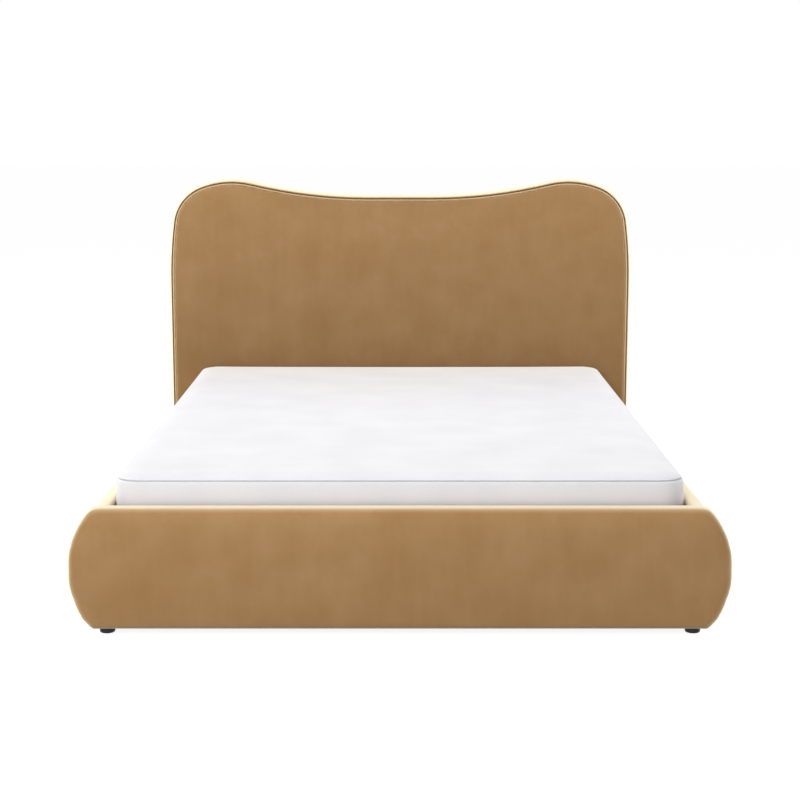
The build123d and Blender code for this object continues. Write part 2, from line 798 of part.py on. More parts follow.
# Gas struts
strut_tube_end = strut_tube_start + strut_tube_length
guide_start = strut_tube_end - strut_plug_length
bore_radius = strut_tube_radius - strut_tube_wall
piston_end = piston_start + piston_length
for side_name, side in sides:
    with BuildPart() as strut_tube:
        strut_turning(
            side,
            (
                (strut_tube_start, strut_tube_start + strut_plug_length, 0, strut_tube_radius),
                (strut_tube_start + strut_plug_length, guide_start, bore_radius, strut_tube_radius),
                (guide_start, strut_tube_end, rod_radius + rod_play, strut_tube_radius),
            ),
        )
        neck_middle = strut_base + heading(strut_angle) * (strut_tube_start / 2)
        with BuildSketch(Plane.YZ.offset(side * eye_inner)) as neck_face:
            with Locations((neck_middle.X, neck_middle.Y)):
                Rectangle(strut_tube_start, strut_neck_width, rotation=half_turn - strut_angle)
        extrude(neck_face.sketch, amount=side * strut_eye_thickness)
        pivot_round(side, eye_inner, eye_outer, strut_base, strut_eye_radius)
        pivot_round(side, eye_inner, eye_outer, strut_base, strut_stud_radius + pivot_play, Mode.SUBTRACT)
    finish(strut_tube, "strut_tube_" + side_name)

    with BuildPart() as strut_rod:
        strut_turning(
            side,
            (
                (piston_start, piston_end, 0, bore_radius - rod_play),
                (piston_end, strut_closed, 0, rod_radius),
            ),
        )
        pivot_round(side, eye_inner, eye_outer, strut_pin, socket_radius)
    finish(strut_rod, "strut_rod_" + side_name)

# Sprung slats, bowed upwards, in two rows
slat_inner = slat_end_gap
slat_outer = frame_outer - slat_end_gap
slat_middle = (slat_inner + slat_outer) / 2
slat_low = slat_crown - slat_thickness
slat_first = frame_foot_y + tube_width + slat_margin + slat_width / 2
slat_last = frame_head_y - tube_width - slat_margin - slat_width / 2
slat_pitch = (slat_last - slat_first) / (slats_per_row - 1)
slat_places = [slat_first + slat_pitch * number for number in range(slats_per_row)]
for side_name, side in sides:
    with BuildPart() as slats:
        for slat_y in slat_places:
            with BuildSketch(Plane.XZ.offset(-slat_y - slat_width / 2)):
                with BuildLine():
                    ThreePointArc(
                        (side * slat_inner, slat_seat),
                        (side * slat_middle, slat_low),
                        (side * slat_outer, slat_seat),
                    )
                    ThreePointArc(
                        (side * slat_inner, slat_seat + slat_thickness),
                        (side * slat_middle, slat_crown),
                        (side * slat_outer, slat_seat + slat_thickness),
                    )
                    Line((side * slat_inner, slat_seat), (side * slat_inner, slat_seat + slat_thickness))
                    Line((side * slat_outer, slat_seat), (side * slat_outer, slat_seat + slat_thickness))
                make_face()
            extrude(amount=slat_width)
    finish(slats, "slats_" + side_name)

# Slat holders: caps on the tubes, open towards the slat
holder_top = slat_seat + slat_thickness + holder_head_room + holder_wall
holder_width = slat_width + 2 * holder_play + 2 * holder_wall


# The outside and the pocket of a holder, between two places across the bed
def holder_block(start, end, low, high, y, width, mode=Mode.ADD):
    with BuildSketch(Plane.XY.offset(low)) as face:
        with Locations(((start + end) / 2, y)):
            Rectangle(abs(end - start), width)
    extrude(face.sketch, amount=high - low, mode=mode)


pocket_low = slat_seat - holder_play
pocket_high = holder_top - holder_wall
pocket_width = slat_width + 2 * holder_play
holder_outer = slat_outer + slat_end_gap
with BuildPart() as slat_holders_outer:
    for side_name, side in sides:
        for slat_y in slat_places:
            start = side * (holder_outer - holder_length)
            pocket_end = side * (slat_outer + holder_play)
            holder_block(start, side * holder_outer, tube_top, holder_top, slat_y, holder_width)
            holder_block(start, pocket_end, pocket_low, pocket_high, slat_y, pocket_width, Mode.SUBTRACT)
finish(slat_holders_outer, "slat_holders_outer")

with BuildPart() as slat_holders_centre:
    for slat_y in slat_places:
        holder_block(-holder_length, holder_length, tube_top, holder_top, slat_y, holder_width)
        for side_name, side in sides:
            start = side * holder_length
            pocket_end = side * (slat_inner - holder_play)
            holder_block(start, pocket_end, pocket_low, pocket_high, slat_y, pocket_width, Mode.SUBTRACT)
finish(slat_holders_centre, "slat_holders_centre")

# Mattress, with a sewn groove under its top edge
with BuildPart() as mattress:
    with BuildSketch(Plane.XY.offset(mattress_bottom)):
        with Locations((0, mattress_middle_y)):
            RectangleRounded(mattress_width, mattress_length, mattress_corner_radius)
    extrude(amount=mattress_thickness)
    fillet(mattress.faces().sort_by(Axis.Z)[-1].edges(), mattress_edge_radius)
    chamfer(mattress.faces().sort_by(Axis.Z)[0].edges(), mattress_bottom_bevel)
    with BuildSketch(Plane.XY.offset(mattress_top - mattress_seam_drop - mattress_seam_width / 2)):
        with Locations((0, mattress_middle_y)):
            Rectangle(mattress_width + cut_overrun, mattress_length + cut_overrun)
            RectangleRounded(
                mattress_width - 2 * mattress_seam_depth,
                mattress_length - 2 * mattress_seam_depth,
                mattress_corner_radius - mattress_seam_depth,
                mode=Mode.SUBTRACT,
            )
    extrude(amount=mattress_seam_width, mode=Mode.SUBTRACT)
finish(mattress, "mattress")

# Mattress retainers: flat bars bent into hoops that stand up at the head end, on tongues under the mattress
retainer_y = mattress_head_y + (head_gap + retainer_thickness) / 2
retainer_top = tube_top + retainer_height
with BuildPart() as mattress_retainers:
    for side_name, side in sides:
        with BuildSketch(Plane.XZ.offset(-retainer_y)):
            with Locations((side * retainer_place, (tube_top + retainer_top) / 2)):
                RectangleRounded(retainer_width, retainer_height, retainer_bend)
                with Locations((0, -retainer_bar / 2)):
                    inner_width = retainer_width - 2 * retainer_bar
                    Rectangle(inner_width, retainer_height - retainer_bar, mode=Mode.SUBTRACT)
        extrude(amount=retainer_thickness)
        for edge in (-1, 1):
            tongue_x = side * retainer_place + edge * (retainer_width - retainer_bar) / 2
            with BuildSketch(Plane.XY.offset(tube_top)):
                with Locations((tongue_x, (retainer_y + head_tube_y) / 2)):
                    Rectangle(retainer_bar, retainer_y - head_tube_y)
            extrude(amount=retainer_thickness)
finish(mattress_retainers, "mattress_retainers")

# Pull tab, hanging from the foot tube
with BuildPart() as pull_tab:
    with BuildSketch(Plane.XZ.offset(-frame_foot_y)) as tab_face:
        with Locations((0, tube_top - tab_length / 2)):
            Rectangle(tab_width, tab_length)
        fillet(tab_face.vertices().sort_by(Axis.Y)[:2], tab_end_radius)
    extrude(amount=tab_thickness)
finish(pull_tab, "pull_tab")
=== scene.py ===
import bpy
import bmesh
import json
import math
from mathutils import Matrix, Vector


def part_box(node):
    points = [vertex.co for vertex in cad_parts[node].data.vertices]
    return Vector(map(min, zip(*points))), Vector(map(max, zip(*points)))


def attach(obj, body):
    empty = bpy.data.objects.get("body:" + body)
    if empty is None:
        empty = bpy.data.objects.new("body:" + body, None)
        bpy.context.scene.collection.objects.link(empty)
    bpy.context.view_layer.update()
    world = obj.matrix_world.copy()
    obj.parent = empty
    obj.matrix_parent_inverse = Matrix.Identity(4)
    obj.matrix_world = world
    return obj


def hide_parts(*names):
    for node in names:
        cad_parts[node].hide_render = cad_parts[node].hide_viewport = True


# Ottoman bed: velvet headboard, rails and footboard round a storage box, and a platform that lifts
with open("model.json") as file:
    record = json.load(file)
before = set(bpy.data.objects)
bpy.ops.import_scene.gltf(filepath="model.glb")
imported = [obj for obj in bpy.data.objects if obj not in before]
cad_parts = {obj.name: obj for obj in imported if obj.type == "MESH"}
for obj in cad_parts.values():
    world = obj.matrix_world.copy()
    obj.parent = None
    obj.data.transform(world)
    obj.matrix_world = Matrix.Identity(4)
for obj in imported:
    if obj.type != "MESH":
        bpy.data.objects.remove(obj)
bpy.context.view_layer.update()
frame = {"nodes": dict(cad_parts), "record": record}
nodes = frame["nodes"]
millimetre = 0.001
mergeGap = 0.02 * millimetre  # points nearer than this are one point
rowGap = 0.05 * millimetre  # the same, for rows that an extrusion brought together
boardGap = 0.5 * millimetre  # between a pad and the face of the board that it goes round

print("stage 1: the packed model is in")


# helpers for selecting, editing and joining
def clamp(value):
    return min(1.0, max(0.0, value))


def deselectAll():
    if bpy.context.mode != "OBJECT":
        bpy.ops.object.mode_set(mode="OBJECT")
    bpy.ops.object.select_all(action="DESELECT")


def makeActive(piece):
    deselectAll()
    piece.select_set(True)
    bpy.context.view_layer.objects.active = piece


def editAll(piece):
    makeActive(piece)
    bpy.ops.object.mode_set(mode="EDIT")
    bpy.ops.mesh.select_all(action="SELECT")


def leaveEdit():
    bpy.ops.object.mode_set(mode="OBJECT")


def applyAll(piece):
    makeActive(piece)
    for modifier in list(piece.modifiers):
        bpy.ops.object.modifier_apply(modifier=modifier.name)


def applyPlace(piece):
    makeActive(piece)
    bpy.ops.object.transform_apply(location=True, rotation=True, scale=True)


def lastAdded(name):
    # the piece that an operator has just made, under the name it should have
    piece = bpy.context.view_layer.objects.active
    piece.name = name
    return piece


def newGrid(name, columns, rows, place=(0.0, 0.0, 0.0)):
    # a flat sheet one metre wide and long, to be shaped by the caller
    deselectAll()
    bpy.ops.mesh.primitive_grid_add(x_subdivisions=columns, y_subdivisions=rows, size=1.0, location=place)
    return lastAdded(name)


def newCylinder(name, shape, height, place):
    deselectAll()
    bpy.ops.mesh.primitive_cylinder_add(
        vertices=shape["sides"], radius=shape["radius"], depth=height, location=place
    )
    piece = lastAdded(name)
    applyPlace(piece)
    return piece


def joinAll(name, pieces):
    deselectAll()
    for piece in pieces:
        piece.select_set(True)
    bpy.context.view_layer.objects.active = pieces[0]
    if len(pieces) > 1:
        bpy.ops.object.join()
    return lastAdded(name)


def pickFaces(piece, test):
    # in edit mode: faces chosen by their centre and normal
    bpy.ops.mesh.select_mode(type="FACE")
    bpy.ops.mesh.select_all(action="DESELECT")
    mesh = bmesh.from_edit_mesh(piece.data)
    for face in mesh.faces:
        face.select_set(test(face.calc_center_median(), face.normal))
    bmesh.update_edit_mesh(piece.data)


def pickEdges(piece, test):
    bpy.ops.mesh.select_mode(type="EDGE")
    bpy.ops.mesh.select_all(action="DESELECT")
    mesh = bmesh.from_edit_mesh(piece.data)
    for edge in mesh.edges:
        edge.select_set(test(edge.verts[0].co, edge.verts[1].co))
    bmesh.update_edit_mesh(piece.data)


def keepFlatFace(piece, way):
    # in edit mode: only the flat face towards plus or minus Y stays, as one face
    pickFaces(piece, lambda centre, normal: way * normal.y < 0.99)
    bpy.ops.mesh.delete(type="FACE")
    bpy.ops.mesh.select_all(action="SELECT")
    bpy.ops.mesh.dissolve_faces()


def extrudeBy(way):
    bpy.ops.mesh.extrude_region_move(TRANSFORM_OT_translate={"value": way})


def faceOutwards():
    bpy.ops.mesh.select_all(action="SELECT")
    bpy.ops.mesh.normals_make_consistent(inside=False)


def closeTube(gap):
    # in edit mode: rows that meet are merged, and the open ends get their faces
    bpy.ops.mesh.select_all(action="SELECT")
    bpy.ops.mesh.remove_doubles(threshold=gap)
    bpy.ops.mesh.select_all(action="SELECT")
    bpy.ops.mesh.fill_holes(sides=0)
    faceOutwards()


def smoothUpTo(degrees):
    # the active piece is shaded smooth, but not over its sharper edges
    bpy.ops.object.shade_smooth_by_angle(angle=math.radians(degrees))


def extrudeRim(piece, put):
    # the selected rim grows by one row, and put gives each new point its place
    bpy.ops.mesh.extrude_edges_move()
    mesh = bmesh.from_edit_mesh(piece.data)
    for point in mesh.verts:
        if point.select:
            point.co = put(point.co)
    bmesh.update_edit_mesh(piece.data)


def copyOfNodes(name, *nodeNames):
    # one closed piece from copies of the frame's nodes, with their loose triangles merged
    copies = []
    for nodeName in nodeNames:
        piece = bpy.data.objects.new(name, nodes[nodeName].data.copy())
        piece.data.materials.clear()
        bpy.context.scene.collection.objects.link(piece)
        copies.append(piece)
    piece = joinAll(name, copies)
    editAll(piece)
    bpy.ops.mesh.remove_doubles(threshold=mergeGap)
    leaveEdit()
    return piece


def copyOf(piece, name, move):
    # a copy with its own mesh, moved
    twin = bpy.data.objects.new(name, piece.data.copy())
    bpy.context.scene.collection.objects.link(twin)
    for point in twin.data.vertices:
        point.co = point.co + move
    return twin


def copyAt(piece, name, place, facing, along):
    # a copy with its own mesh: its Z looks the way of facing, and its X runs along
    twin = bpy.data.objects.new(name, piece.data.copy())
    bpy.context.scene.collection.objects.link(twin)
    facing, along = Vector(facing), Vector(along)
    turn = Matrix((along, facing.cross(along), facing)).transposed().to_4x4()
    twin.data.transform(Matrix.Translation(place) @ turn)
    return twin


def copiesJoined(piece, name, spots):
    # spots is a list of (place, facing, along), and the piece that was copied goes
    joined = joinAll(name, [copyAt(piece, name, *spot) for spot in spots])
    bpy.data.objects.remove(piece)
    return joined


def fitBox(piece, low, high):
    # smoothing draws a pad in, and this stretches it back to the size it should have
    points = [point.co for point in piece.data.vertices]
    first = Vector([min(co[axis] for co in points) for axis in range(3)])
    last = Vector([max(co[axis] for co in points) for axis in range(3)])
    share = [(high[axis] - low[axis]) / (last[axis] - first[axis]) for axis in range(3)]
    middle = (first + last) / 2
    editAll(piece)
    bpy.ops.transform.resize(value=share, center_override=middle)
    bpy.ops.transform.translate(value=(low + high) / 2 - middle)
    leaveEdit()


def markLitHeight(piece):
    # how high each point lies on its piece, from 0 to 1, for the velvet's painted light and painted shade
    # by height
    heights = [point.co.z for point in piece.data.vertices]
    low, high = min(heights), max(heights)
    lightByHeight = piece.data.attributes.new("litHeight", "FLOAT", "POINT")
    for entry, height in zip(lightByHeight.data, heights):
        entry.value = (height - low) / (high - low)


def markSeamShade(piece, shareAt):
    # where to paint seam shade: 1 where the cloth runs down into a seam, and 0 elsewhere
    sewn = piece.data.attributes.new("seamShadeShare", "FLOAT", "POINT")
    for entry, point in zip(sewn.data, piece.data.vertices):
        entry.value = clamp(shareAt(point.co))


def finishPiece(piece, material, body, slotName, *replaced):
    if slotName == "velvet":
        markLitHeight(piece)
    piece.data.materials.clear()
    piece.data.materials.append(material)
    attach(piece, body)
    if replaced:
        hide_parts(*replaced)
    return piece


# helpers for finishes
def fromScreen(red, green, blue):
    # a colour as it is on screen, 0 to 255, made linear
    channels = []
    for value in (red, green, blue):
        share = value / 255
        channels.append(share / 12.92 if share <= 0.04045 else ((share + 0.055) / 1.055) ** 2.4)
    return (*channels, 1.0)


def startMaterial(name):
    material = bpy.data.materials.new(name)
    material.use_nodes = True
    tree = material.node_tree
    tree.nodes.clear()
    output = tree.nodes.new("ShaderNodeOutputMaterial")
    shader = tree.nodes.new("ShaderNodeBsdfPrincipled")
    tree.links.new(shader.outputs["BSDF"], output.inputs["Surface"])
    place = tree.nodes.new("ShaderNodeTexCoord").outputs["Object"]
    return material, tree, shader, place


def setInputs(tree, node, inputs):
    # each is a plain value or another node's output
    for key, value in inputs.items():
        if isinstance(value, bpy.types.NodeSocket):
            tree.links.new(value, node.inputs[key])
        else:
            node.inputs[key].default_value = value


def addNode(tree, kind, inputs, **settings):
    node = tree.nodes.new(kind)
    for key, value in settings.items():
        setattr(node, key, value)
    setInputs(tree, node, inputs)
    return node


def stretched(tree, place, scale):
    return addNode(tree, "ShaderNodeMapping", {"Vector": place, "Scale": scale}).outputs["Vector"]


def noiseOf(tree, place, scale, detail=3.0, roughness=0.5):
    inputs = {"Vector": place, "Scale": scale, "Detail": detail, "Roughness": roughness}
    return addNode(tree, "ShaderNodeTexNoise", inputs).outputs["Fac"]


def rampOf(tree, value, stops):
    # stops is a list of (place, colour)
    node = addNode(tree, "ShaderNodeValToRGB", {"Fac": value})
    ramp = node.color_ramp
    while len(ramp.elements) < len(stops):
        ramp.elements.new(0.5)
    for element, (place, colour) in zip(ramp.elements, stops):
        element.position = place
        element.color = colour
    return node.outputs["Color"]


def greyRamp(tree, value, stops):
    return rampOf(tree, value, [(place, (tone, tone, tone, 1.0)) for place, tone in stops])


def mixOf(tree, share, first, second, blend="MIX"):
    inputs = {0: share, 6: first, 7: second}
    return addNode(tree, "ShaderNodeMix", inputs, data_type="RGBA", blend_type=blend).outputs[2]


def toned(tree, share, colour, value, stops):
    # a colour times the grey that stops give for a value
    return mixOf(tree, share, colour, greyRamp(tree, value, stops), "MULTIPLY")


def seamShade(tree, colour, tone):
    # cloth that runs down into a seam gets less light than the lamps' soft shadows show
    seamShadeShare = addNode(tree, "ShaderNodeAttribute", {}, attribute_name="seamShadeShare").outputs["Fac"]
    return mixOf(tree, seamShadeShare, colour, mixOf(tree, 1.0, colour, tone, "MULTIPLY"))


def bumpOf(tree, height, strength, distance, before=None):
    inputs = {"Height": height, "Strength": strength, "Distance": distance}
    if before is not None:
        inputs["Normal"] = before
    return addNode(tree, "ShaderNodeBump", inputs).outputs["Normal"]


velvet = {
    "shadowNap": fromScreen(159, 122, 80),
    "middleNap": fromScreen(163, 127, 85),
    "lightNap": fromScreen(168, 132, 91),
    "turningSheen": fromScreen(246, 216, 172),  # painted sheen where the surface starts to turn away from the eye
    "rimSheen": fromScreen(255, 244, 216),  # painted rim highlight where the surface is seen edge-on
    # painted shade for cloth that runs down into a seam
    "seamShadeTone": (0.17, 0.145, 0.10, 1.0),
    "underTone": 0.42,  # the share of light left where a piece turns under
    "underReach": 0.045,  # and how far up the piece that goes, as a share of its height
    "sheenTint": fromScreen(255, 238, 205),
    "sheen": 0.35,
    "sheenSpread": 0.4,
    "roughness": 0.85,
    "gloss": 0.1,
    "mottleScale": 8.0,
    "streakScale": (40.0, 40.0, 6.0),
    "streaks": ((0.3, 0.92), (0.7, 1.06)),
    "streakShare": 0.35,
    "fibreScale": 800.0,
    "fibres": ((0.3, 0.84), (0.7, 1.12)),
    "fibreShare": 0.4,
    "fibreRelief": 0.2,
    "fibreDepth": 0.0004,
    "pressedScale": 9.0,
    "pressedRelief": 0.06,
    "pressedDepth": 0.003,
    "rimSheenShares": (0.28, 0.85),  # how much of the painted rim sheen shows at the second and third edge place
}
# the velvet's painted light, piece by piece: the tones by height are painted light, lighter towards the top
# of a piece, as (height, tone).
# edge is where a painted rim sheen starts as the surface turns away from the eye, where it shows a little,
# and where it shows most.
# under is painted shade: how much a piece darkens where it turns under at its lower edge. The four velvets
# differ only in this painted light
velvetPaintedLight = {
    "velvet": {
        "lightByHeight": ((0.0, 0.93), (0.6, 0.98), (0.85, 1.03), (1.0, 1.15)),
        "edge": (0.12, 0.38, 0.7),
        "under": 1.0,
    },
    "headboardVelvet": {
        "lightByHeight": ((0.0, 0.72), (0.38, 0.76), (0.7, 0.92), (1.0, 1.05)),
        "edge": (0.12, 0.35, 0.68),
        "under": 0.0,
    },
    "borderVelvet": {"lightByHeight": ((0.0, 1.0), (1.0, 1.1)), "edge": (0.05, 0.17, 0.42), "under": 0.0},
    # the piping's tones over 1 are a painted highlight on the cord
    "pipingVelvet": {"lightByHeight": ((0.0, 1.5), (1.0, 2.1)), "edge": (0.05, 0.16, 0.38), "under": 0.0},
}


def velvetCloth(name):
    paintedLight = velvetPaintedLight[name]
    material, tree, shader, place = startMaterial(name)
    mottle = noiseOf(tree, place, velvet["mottleScale"], 4.0, 0.55)
    stops = [(0.3, velvet["shadowNap"]), (0.5, velvet["middleNap"]), (0.7, velvet["lightNap"])]
    colour = rampOf(tree, mottle, stops)
    streaks = noiseOf(tree, stretched(tree, place, velvet["streakScale"]), 1.0, 3.0, 0.6)
    colour = toned(tree, velvet["streakShare"], colour, streaks, velvet["streaks"])
    lightByHeight = addNode(tree, "ShaderNodeAttribute", {}, attribute_name="litHeight").outputs["Fac"]
    # painted light: the colour is lighter towards the top of the piece
    colour = toned(tree, 1.0, colour, lightByHeight, paintedLight["lightByHeight"])
    fibre = noiseOf(tree, place, velvet["fibreScale"], 2.0, 0.6)
    colour = toned(tree, velvet["fibreShare"], colour, fibre, velvet["fibres"])
    # painted sheen: a pale rim highlight is mixed into the colour where the surface turns away from the eye
    facing = addNode(tree, "ShaderNodeLayerWeight", {"Blend": 0.5}).outputs["Facing"]
    edgeStart, edgeSome, edgeMost = paintedLight["edge"]
    someShare, mostShare = velvet["rimSheenShares"]
    edgeStops = [(edgeStart, 0.0), (edgeSome, someShare), (edgeMost, mostShare), (1.0, 1.0)]
    rimSheenShare = greyRamp(tree, facing, edgeStops)
    rimSheenColour = rampOf(tree, facing, [(edgeSome, velvet["turningSheen"]), (edgeMost, velvet["rimSheen"])])
    colour = mixOf(tree, rimSheenShare, colour, rimSheenColour)
    # painted shade along the lower edge, where the piece turns under
    shaded = toned(tree, 1.0, colour, lightByHeight, [(0.0, velvet["underTone"]), (velvet["underReach"], 1.0)])
    colour = mixOf(tree, paintedLight["under"], colour, shaded)
    pressed = noiseOf(tree, place, velvet["pressedScale"], 2.0)
    pressedNormal = bumpOf(tree, pressed, velvet["pressedRelief"], velvet["pressedDepth"])
    setInputs(tree, shader, {
        "Base Color": seamShade(tree, colour, velvet["seamShadeTone"]),
        "Roughness": velvet["roughness"],
        "Specular IOR Level": velvet["gloss"],
        "Sheen Weight": velvet["sheen"],
        "Sheen Roughness": velvet["sheenSpread"],
        "Sheen Tint": velvet["sheenTint"],
        "Normal": bumpOf(tree, fibre, velvet["fibreRelief"], velvet["fibreDepth"], pressedNormal),
    })
    return material


mattressCloth = {
    "high": fromScreen(238, 238, 241),
    "low": fromScreen(231, 231, 235),
    "toneScale": 5.0,
    # painted shade in the seam below the top's roll
    "seamShadeTone": (0.55, 0.55, 0.56, 1.0),
    "threadScale": 330.0,
    "threads": ((0.1, 1.0), (0.8, 0.9)),
    "threadShare": 0.3,
    "threadRelief": 0.3,
    "threadDepth": 0.0004,
    "roughness": 0.8,
    "sheen": 0.1,
}


def mattressKnit():
    material, tree, shader, place = startMaterial("mattressKnit")
    tone = noiseOf(tree, place, mattressCloth["toneScale"])
    colour = rampOf(tree, tone, [(0.3, mattressCloth["low"]), (0.7, mattressCloth["high"])])
    inputs = {"Vector": place, "Scale": mattressCloth["threadScale"]}
    threads = addNode(tree, "ShaderNodeTexVoronoi", inputs).outputs["Distance"]
    colour = toned(tree, mattressCloth["threadShare"], colour, threads, mattressCloth["threads"])
    setInputs(tree, shader, {
        "Base Color": seamShade(tree, colour, mattressCloth["seamShadeTone"]),
        "Roughness": mattressCloth["roughness"],
        "Sheen Weight": mattressCloth["sheen"],
        "Normal": bumpOf(tree, threads, mattressCloth["threadRelief"], mattressCloth["threadDepth"]),
    })
    return material


plainCloth = {"distortion": 0.6, "slowScale": 8.0, "roughness": 0.9, "sheen": 0.2, "relief": 0.4}


def clothOf(name, dark, light, weaveScale, depth):
    # plain woven or bonded cloth: crossed waves, and a slow change of tone
    material, tree, shader, place = startMaterial(name)
    dark, light = fromScreen(*dark), fromScreen(*light)
    waves = []
    for direction in ("X", "Y", "Z"):
        inputs = {"Vector": place, "Scale": weaveScale, "Distortion": plainCloth["distortion"]}
        waves.append(addNode(tree, "ShaderNodeTexWave", inputs, bands_direction=direction).outputs["Fac"])
    weave = addNode(tree, "ShaderNodeMath", {0: waves[0], 1: waves[1]}, operation="MULTIPLY").outputs[0]
    weave = addNode(tree, "ShaderNodeMath", {0: weave, 1: waves[2]}, operation="ADD").outputs[0]
    woven = rampOf(tree, weave, [(0.1, dark), (1.0, light)])
    slow = rampOf(tree, noiseOf(tree, place, plainCloth["slowScale"]), [(0.3, dark), (0.7, light)])
    setInputs(tree, shader, {
        "Base Color": mixOf(tree, 0.5, woven, slow),
        "Roughness": plainCloth["roughness"],
        "Sheen Weight": plainCloth["sheen"],
        "Normal": bumpOf(tree, weave, plainCloth["relief"], depth),
    })
    return material


wood = {
    "toneStops": (0.32, 0.5, 0.68),
    "poreFineness": 6,  # how much finer the pores are than the grain
    "poreTones": ((0.35, (0.8, 0.76, 0.72, 1.0)), (0.55, (1.0, 1.0, 1.0, 1.0))),
    "poreShare": 0.5,
    "poreRelief": 0.2,
    "poreDepth": 0.0002,
}


def woodOf(name, tones, grainScale, roughness=0.6, coat=0.0):
    # tones run from dark to light, and grainScale is small along the grain and large across it
    material, tree, shader, place = startMaterial(name)
    rings = noiseOf(tree, stretched(tree, place, grainScale), 1.0, 6.0, 0.65)
    stops = [(stop, fromScreen(*tone)) for stop, tone in zip(wood["toneStops"], tones)]
    colour = rampOf(tree, rings, stops)
    fineScale = tuple(wood["poreFineness"] * scale for scale in grainScale)
    pores = noiseOf(tree, stretched(tree, place, fineScale), 1.0, 2.0, 0.5)
    poreTone = rampOf(tree, pores, wood["poreTones"])
    setInputs(tree, shader, {
        "Base Color": mixOf(tree, wood["poreShare"], colour, poreTone, "MULTIPLY"),
        "Roughness": roughness,
        "Coat Weight": coat,
        "Normal": bumpOf(tree, pores, wood["poreRelief"], wood["poreDepth"]),
    })
    return material


paint = {
    "toneScale": 14.0,
    "wornScale": 40.0,
    "smoother": 0.06,  # how much the roughness falls and rises where it is worn
    "rougher": 0.08,
    "grainRelief": 0.15,
    "grainDepth": 0.00015,
}


def paintOf(name, low, high, roughness, grain, metallic=0.0, coat=0.0, gloss=0.5):
    # moulded plastic, rubber, powder paint and plated steel: a slow change of tone over a fine grain
    material, tree, shader, place = startMaterial(name)
    stops = [(0.3, fromScreen(*low)), (0.7, fromScreen(*high))]
    worn = noiseOf(tree, place, paint["wornScale"], 3.0, 0.6)
    smoothest, roughest = roughness - paint["smoother"], roughness + paint["rougher"]
    spread = {"Value": worn, "To Min": smoothest, "To Max": roughest}
    grains = noiseOf(tree, place, grain, 2.0)
    setInputs(tree, shader, {
        "Base Color": rampOf(tree, noiseOf(tree, place, paint["toneScale"], 4.0, 0.6), stops),
        "Roughness": addNode(tree, "ShaderNodeMapRange", spread).outputs["Result"],
        "Metallic": metallic,
        "Specular IOR Level": gloss,
        "Coat Weight": coat,
        "Normal": bumpOf(tree, grains, paint["grainRelief"], paint["grainDepth"]),
    })
    return material


woodTones = {
    "board": ((168, 134, 96), (188, 155, 114), (203, 173, 134)),
    "pine": ((190, 150, 98), (212, 178, 127), (226, 197, 150)),
    "floor": ((166, 155, 140), (176, 166, 152), (184, 175, 162)),
    "birch": ((205, 174, 128), (222, 194, 150), (234, 210, 170)),
}

materials = {
    "velvet": velvetCloth("velvet"),
    "mattress_fabric": mattressKnit(),
    # dark and light tone, scale of the weave, depth of its relief
    "dust_cover": clothOf("dustCloth", (30, 30, 32), (52, 52, 55), 420.0, 0.0002),
    "webbing": clothOf("webbingCloth", (24, 24, 26), (60, 60, 64), 260.0, 0.0004),
    "board_wood": woodOf("boardWood", woodTones["board"], (5.0, 5.0, 70.0)),
    "pine": woodOf("pineWood", woodTones["pine"], (9.0, 9.0, 90.0)),
    "floor_board": woodOf("floorBoard", woodTones["floor"], (80.0, 5.0, 80.0)),
    "birch": woodOf("birchPly", woodTones["birch"], (5.0, 70.0, 70.0), 0.4, 0.25),
    # low and high tone, roughness, grain
    "black_plastic": paintOf("blackPlastic", (16, 16, 18), (24, 24, 26), 0.42, 700.0, gloss=0.3),
    "buffer_rubber": paintOf("bufferRubber", (26, 26, 27), (36, 36, 37), 0.75, 500.0),
    "frame_paint": paintOf("framePaint", (74, 77, 82), (88, 91, 96), 0.45, 900.0, coat=0.15),
    "zinc_steel": paintOf("zincSteel", (176, 179, 182), (200, 202, 204), 0.34, 300.0, metallic=1.0),
    "strut_paint": paintOf("strutPaint", (18, 18, 20), (28, 28, 30), 0.25, 500.0, coat=0.6),
    "rod_chrome": paintOf("rodChrome", (215, 216, 218), (232, 233, 234), 0.12, 200.0, metallic=1.0),
}

for part in frame["record"]["subparts"]:
    for slot in nodes[part["node"]].material_slots:
        slot.material = materials[part["material_slot"]]

print("stage 2: finishes are on the frame's nodes")


# padded pieces: foam under velvet, blown up as cloth
def puffUp(piece, settings, isHeld):
    # air pushes the cloth out from the inside, and no point goes further than the cap
    start = [point.co.copy() for point in piece.data.vertices]
    group = piece.vertex_groups.new(name="held")
    group.add([point.index for point in piece.data.vertices if isHeld(point.co)], 1.0, "REPLACE")
    cloth = piece.modifiers.new("puff", "CLOTH")
    cloth.settings.use_pressure = True
    cloth.settings.uniform_pressure_force = settings["pressure"]
    cloth.settings.effector_weights.gravity = 0.0
    cloth.settings.vertex_group_mass = "held"
    cloth.settings.quality = 5
    cloth.point_cache.frame_start = 1
    cloth.point_cache.frame_end = settings["frames"]
    for number in range(1, settings["frames"] + 1):
        bpy.context.scene.frame_set(number)
    makeActive(piece)
    bpy.ops.object.modifier_apply(modifier=cloth.name)
    bpy.context.scene.frame_set(1)
    for point, before in zip(piece.data.vertices, start):
        move = point.co - before
        if move.length > settings["cap"]:
            point.co = before + move.normalized() * settings["cap"]
    piece.vertex_groups.clear()


